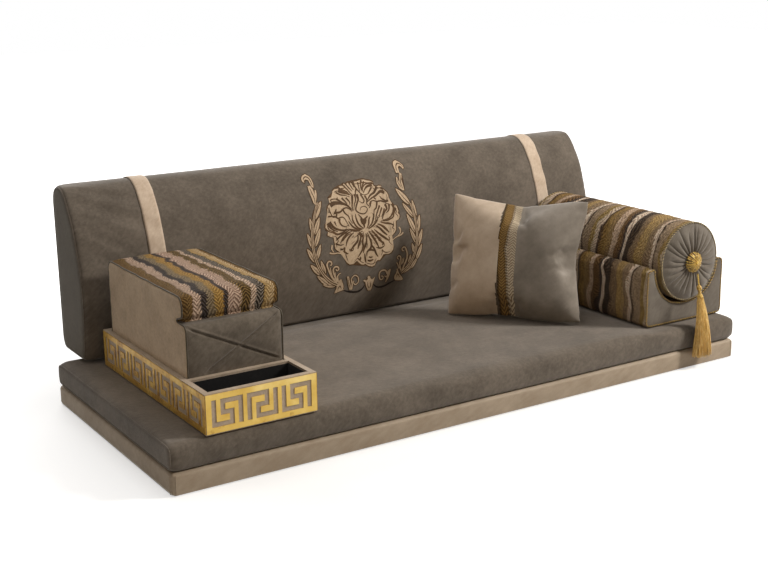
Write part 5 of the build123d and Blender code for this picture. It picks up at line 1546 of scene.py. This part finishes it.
cordFoot = top + down * tassel["cord"]
curve = bpy.data.curves.new("tasselCord", "CURVE")
curve.dimensions = "3D"
line = curve.splines.new("NURBS")
line.points.add(3)
for point, (share, sway) in zip(line.points, tassel["sway"]):
    spot = top.lerp(cordFoot, share) + Vector((sway, 0, 0))
    point.co = (*(spot * mm), 1)
line.order_u = 3
line.use_endpoint_u = True
curve.bevel_depth = tassel["cordThick"] / 2 * mm
curve.bevel_resolution = 3
cord = bpy.data.objects.new("tasselCord", curve)
scene.collection.objects.link(cord)
curve.materials.append(materials["goldGimp"])
done(cord, "tassel_cord", ["tassel_cord"])

headFoot = cordFoot + down * tassel["head"]
aside = Vector((1, 0, 0))
frontward = aside.cross(down)


def tasselRing(along, radius, count):
    return [(cordFoot + down * along + aside * (radius * math.cos(t)) +
             frontward * (radius * math.sin(t))) * mm
            for t in np.linspace(0, 2 * math.pi, count, endpoint=False)]


rings = [tasselRing(along, radius, 24) for along, radius in tassel["profile"]]
head = shadeSmooth(lofted("tasselHead", rings, "goldTassel"))
done(head, "tassel", ["tassel_head"])
for index, (along, radius) in enumerate(tassel["bindings"]):
    path = tasselRing(along, radius, 28)
    done(rope(f"tasselBinding{index}", path, 1.5, 5, "goldGimp"), "tassel")

# the skirt: threads spread evenly over a widening oval
random.seed(3)
foot = headFoot - Vector((0, tassel["swing"], tassel["foot"]))
steps, (neckWide, neckDeep), (hemWide, hemDeep) = (tassel[k] for k in ("steps", "neck", "hem"))
verts, faces = [], []
for i in range(tassel["strands"]):
    around = 2 * math.pi * i * 0.618034
    spread = math.sqrt((i + 0.5) / tassel["strands"])
    wave = random.uniform(-1, 1)
    length = random.uniform(0.93, 1.0)
    first = len(verts)
    for s in range(steps + 1):
        t = s / steps * length
        middle = headFoot.lerp(foot, t) - \
            Vector((0, tassel["bow"] * math.sin(math.pi * t), 0))
        wide = neckWide + (hemWide - neckWide) * (t ** tassel["flare"])
        deep = neckDeep + (hemDeep - neckDeep) * (t ** tassel["flare"])
        sway = wave * tassel["wave"] * math.sin(2.2 * math.pi * t + around)
        spot = middle + Vector((math.cos(around) * wide * spread + sway,
                                math.sin(around) * deep * spread, 0))
        thick = tassel["thread"] * (1 - 0.35 * t)
        for k in range(4):
            b = math.pi / 2 * k + around
            verts.append((spot + Vector((math.cos(b) * thick, math.sin(b) * thick, 0))) * mm)
    faces += tubeFaces(steps + 1, 4, first)
    faces.append(tuple(first + steps * 4 + k for k in range(4)))
skirt = shadeSmooth(meshObject("tasselSkirt", verts, faces, "tasselThread"))
done(skirt, "tassel", ["tassel_skirt"])
print("tassel ready")

# the scatter pillow, cut with bowed edges so that its filling draws them nearly straight;
# beige and braid are shares of the width, bows of the half width and the half height
pillow = {"width": 456, "height": 406, "thick": 130, "centre": (404, -15, 339.9),
          "turn": -51.7, "lean": 15, "beige": 0.39, "braid": 0.13, "cut": 1.045,
          "bows": {"left": 0.07, "foot": 0.17, "top": 0.05}, "rise": 34, "grid": (58, 52),
          "pressure": 9, "cap": 60, "stiffness": 9, "bending": 0.15, "frames": 24,
          "quickRise": 1.9, "shrink": 0.992}
turn, lean = math.radians(pillow["turn"]), math.radians(pillow["lean"])
alongFoot = Vector((math.cos(turn), math.sin(turn), 0))
outward = Vector((math.sin(turn), -math.cos(turn), 0))
facing = outward * math.cos(lean) + Vector((0, 0, math.sin(lean)))
upSlope = facing.cross(alongFoot)
placed = Matrix.Translation(Vector(pillow["centre"]) * mm) @ Matrix(
    (alongFoot, upSlope, facing)).transposed().to_4x4()
columns, rows = pillow["grid"]
bows = pillow["bows"]
verts, index = [], {}
for side in (1, -1):
    for j in range(rows + 1):
        for i in range(columns + 1):
            u, v = 2 * i / columns - 1, 2 * j / rows - 1
            rim = abs(abs(u) - 1) < 1e-9 or abs(abs(v) - 1) < 1e-9
            if rim and (1, i, j) in index:
                index[(side, i, j)] = index[(1, i, j)]
                continue
            rise = 0 if rim else ((1 - abs(u) ** 2.6) * (1 - abs(v) ** 2.6)) ** 0.6
            index[(side, i, j)] = len(verts)
            wide = pillow["cut"] + (bows["left"] if u < 0 else 0.0) * (1 - v * v)
            tall = pillow["cut"] + (bows["foot"] if v < 0 else bows["top"]) * (1 - u * u)
            verts.append((u * pillow["width"] / 2 * wide, v * pillow["height"] / 2 * tall,
                          side * rise * pillow["rise"]))
faces = []
for side in (1, -1):
    for j in range(rows):
        for i in range(columns):
            quad = [index[(side, i + p, j + q)] for p, q in ((0, 0), (1, 0), (1, 1), (0, 1))]
            faces.append(tuple(quad if side > 0 else quad[::-1]))
cushion = meshObject("scatterPillow", [Vector(v) * mm for v in verts], faces,
                     ["velvetBeige", "velvetGrey", "pillowBraid"])
inflated(cushion, pillow, lambda spots: np.zeros(len(spots), bool))
spots = coordinates(cushion)
for axis, size in enumerate((pillow["width"], pillow["height"], pillow["thick"])):
    low, high = spots[:, axis].min(), spots[:, axis].max()
    spots[:, axis] = (spots[:, axis] - (low + high) / 2) * size * mm / (high - low) \
        * pillow["shrink"]
moveTo(cushion, spots)
refined(cushion)
braidFrom, braidTo = ((share - 0.5) * pillow["width"] * mm for share in
                      (pillow["beige"], pillow["beige"] + pillow["braid"]))
paintBy(cushion, lambda m: np.where(m[:, 2] < 0, 1, np.where(
    m[:, 0] < braidFrom, 0, np.where(m[:, 0] < braidTo, 2, 1))))
cushion.data.transform(placed)
done(cushion, "pillow",
     ["pillow_beige_panel", "pillow_stripe_panel", "pillow_grey_panel", "pillow_back_panel",
      "pillow_insert"])
print("pillow ready")

# the CAD's own pieces that stay, with their finishes
finishes = {
    "pine": ["base_front_rail", "base_back_rail", "base_side_rails", "base_cross_slats",
             "base_corner_blocks", "base_deck_board"],
    "wadding": ["base_foam_wrap"],
    "dustCloth": ["base_bottom_liner"],
    "zipTape": ["seat_zip", "backrest_zip"],
    "zipMetal": ["seat_zip_slider", "backrest_zip_slider"],
    "trayBoard": ["tray_bottom_board", "tray_front_panel", "tray_back_panel",
                  "tray_left_panel", "tray_right_panel", "tray_divider"],
    "giltFront": ["tray_front_fret"],
    # the side frets' darker gilding is painted shade
    "giltSide": ["tray_left_fret", "tray_right_fret"],
    "blackFlock": ["tray_bin_lining"],
}
for paint, names in finishes.items():
    for name in names:
        node = nodes[name]
        node.data.materials.clear()
        node.data.materials.append(materials[paint])
print("finishes ready")
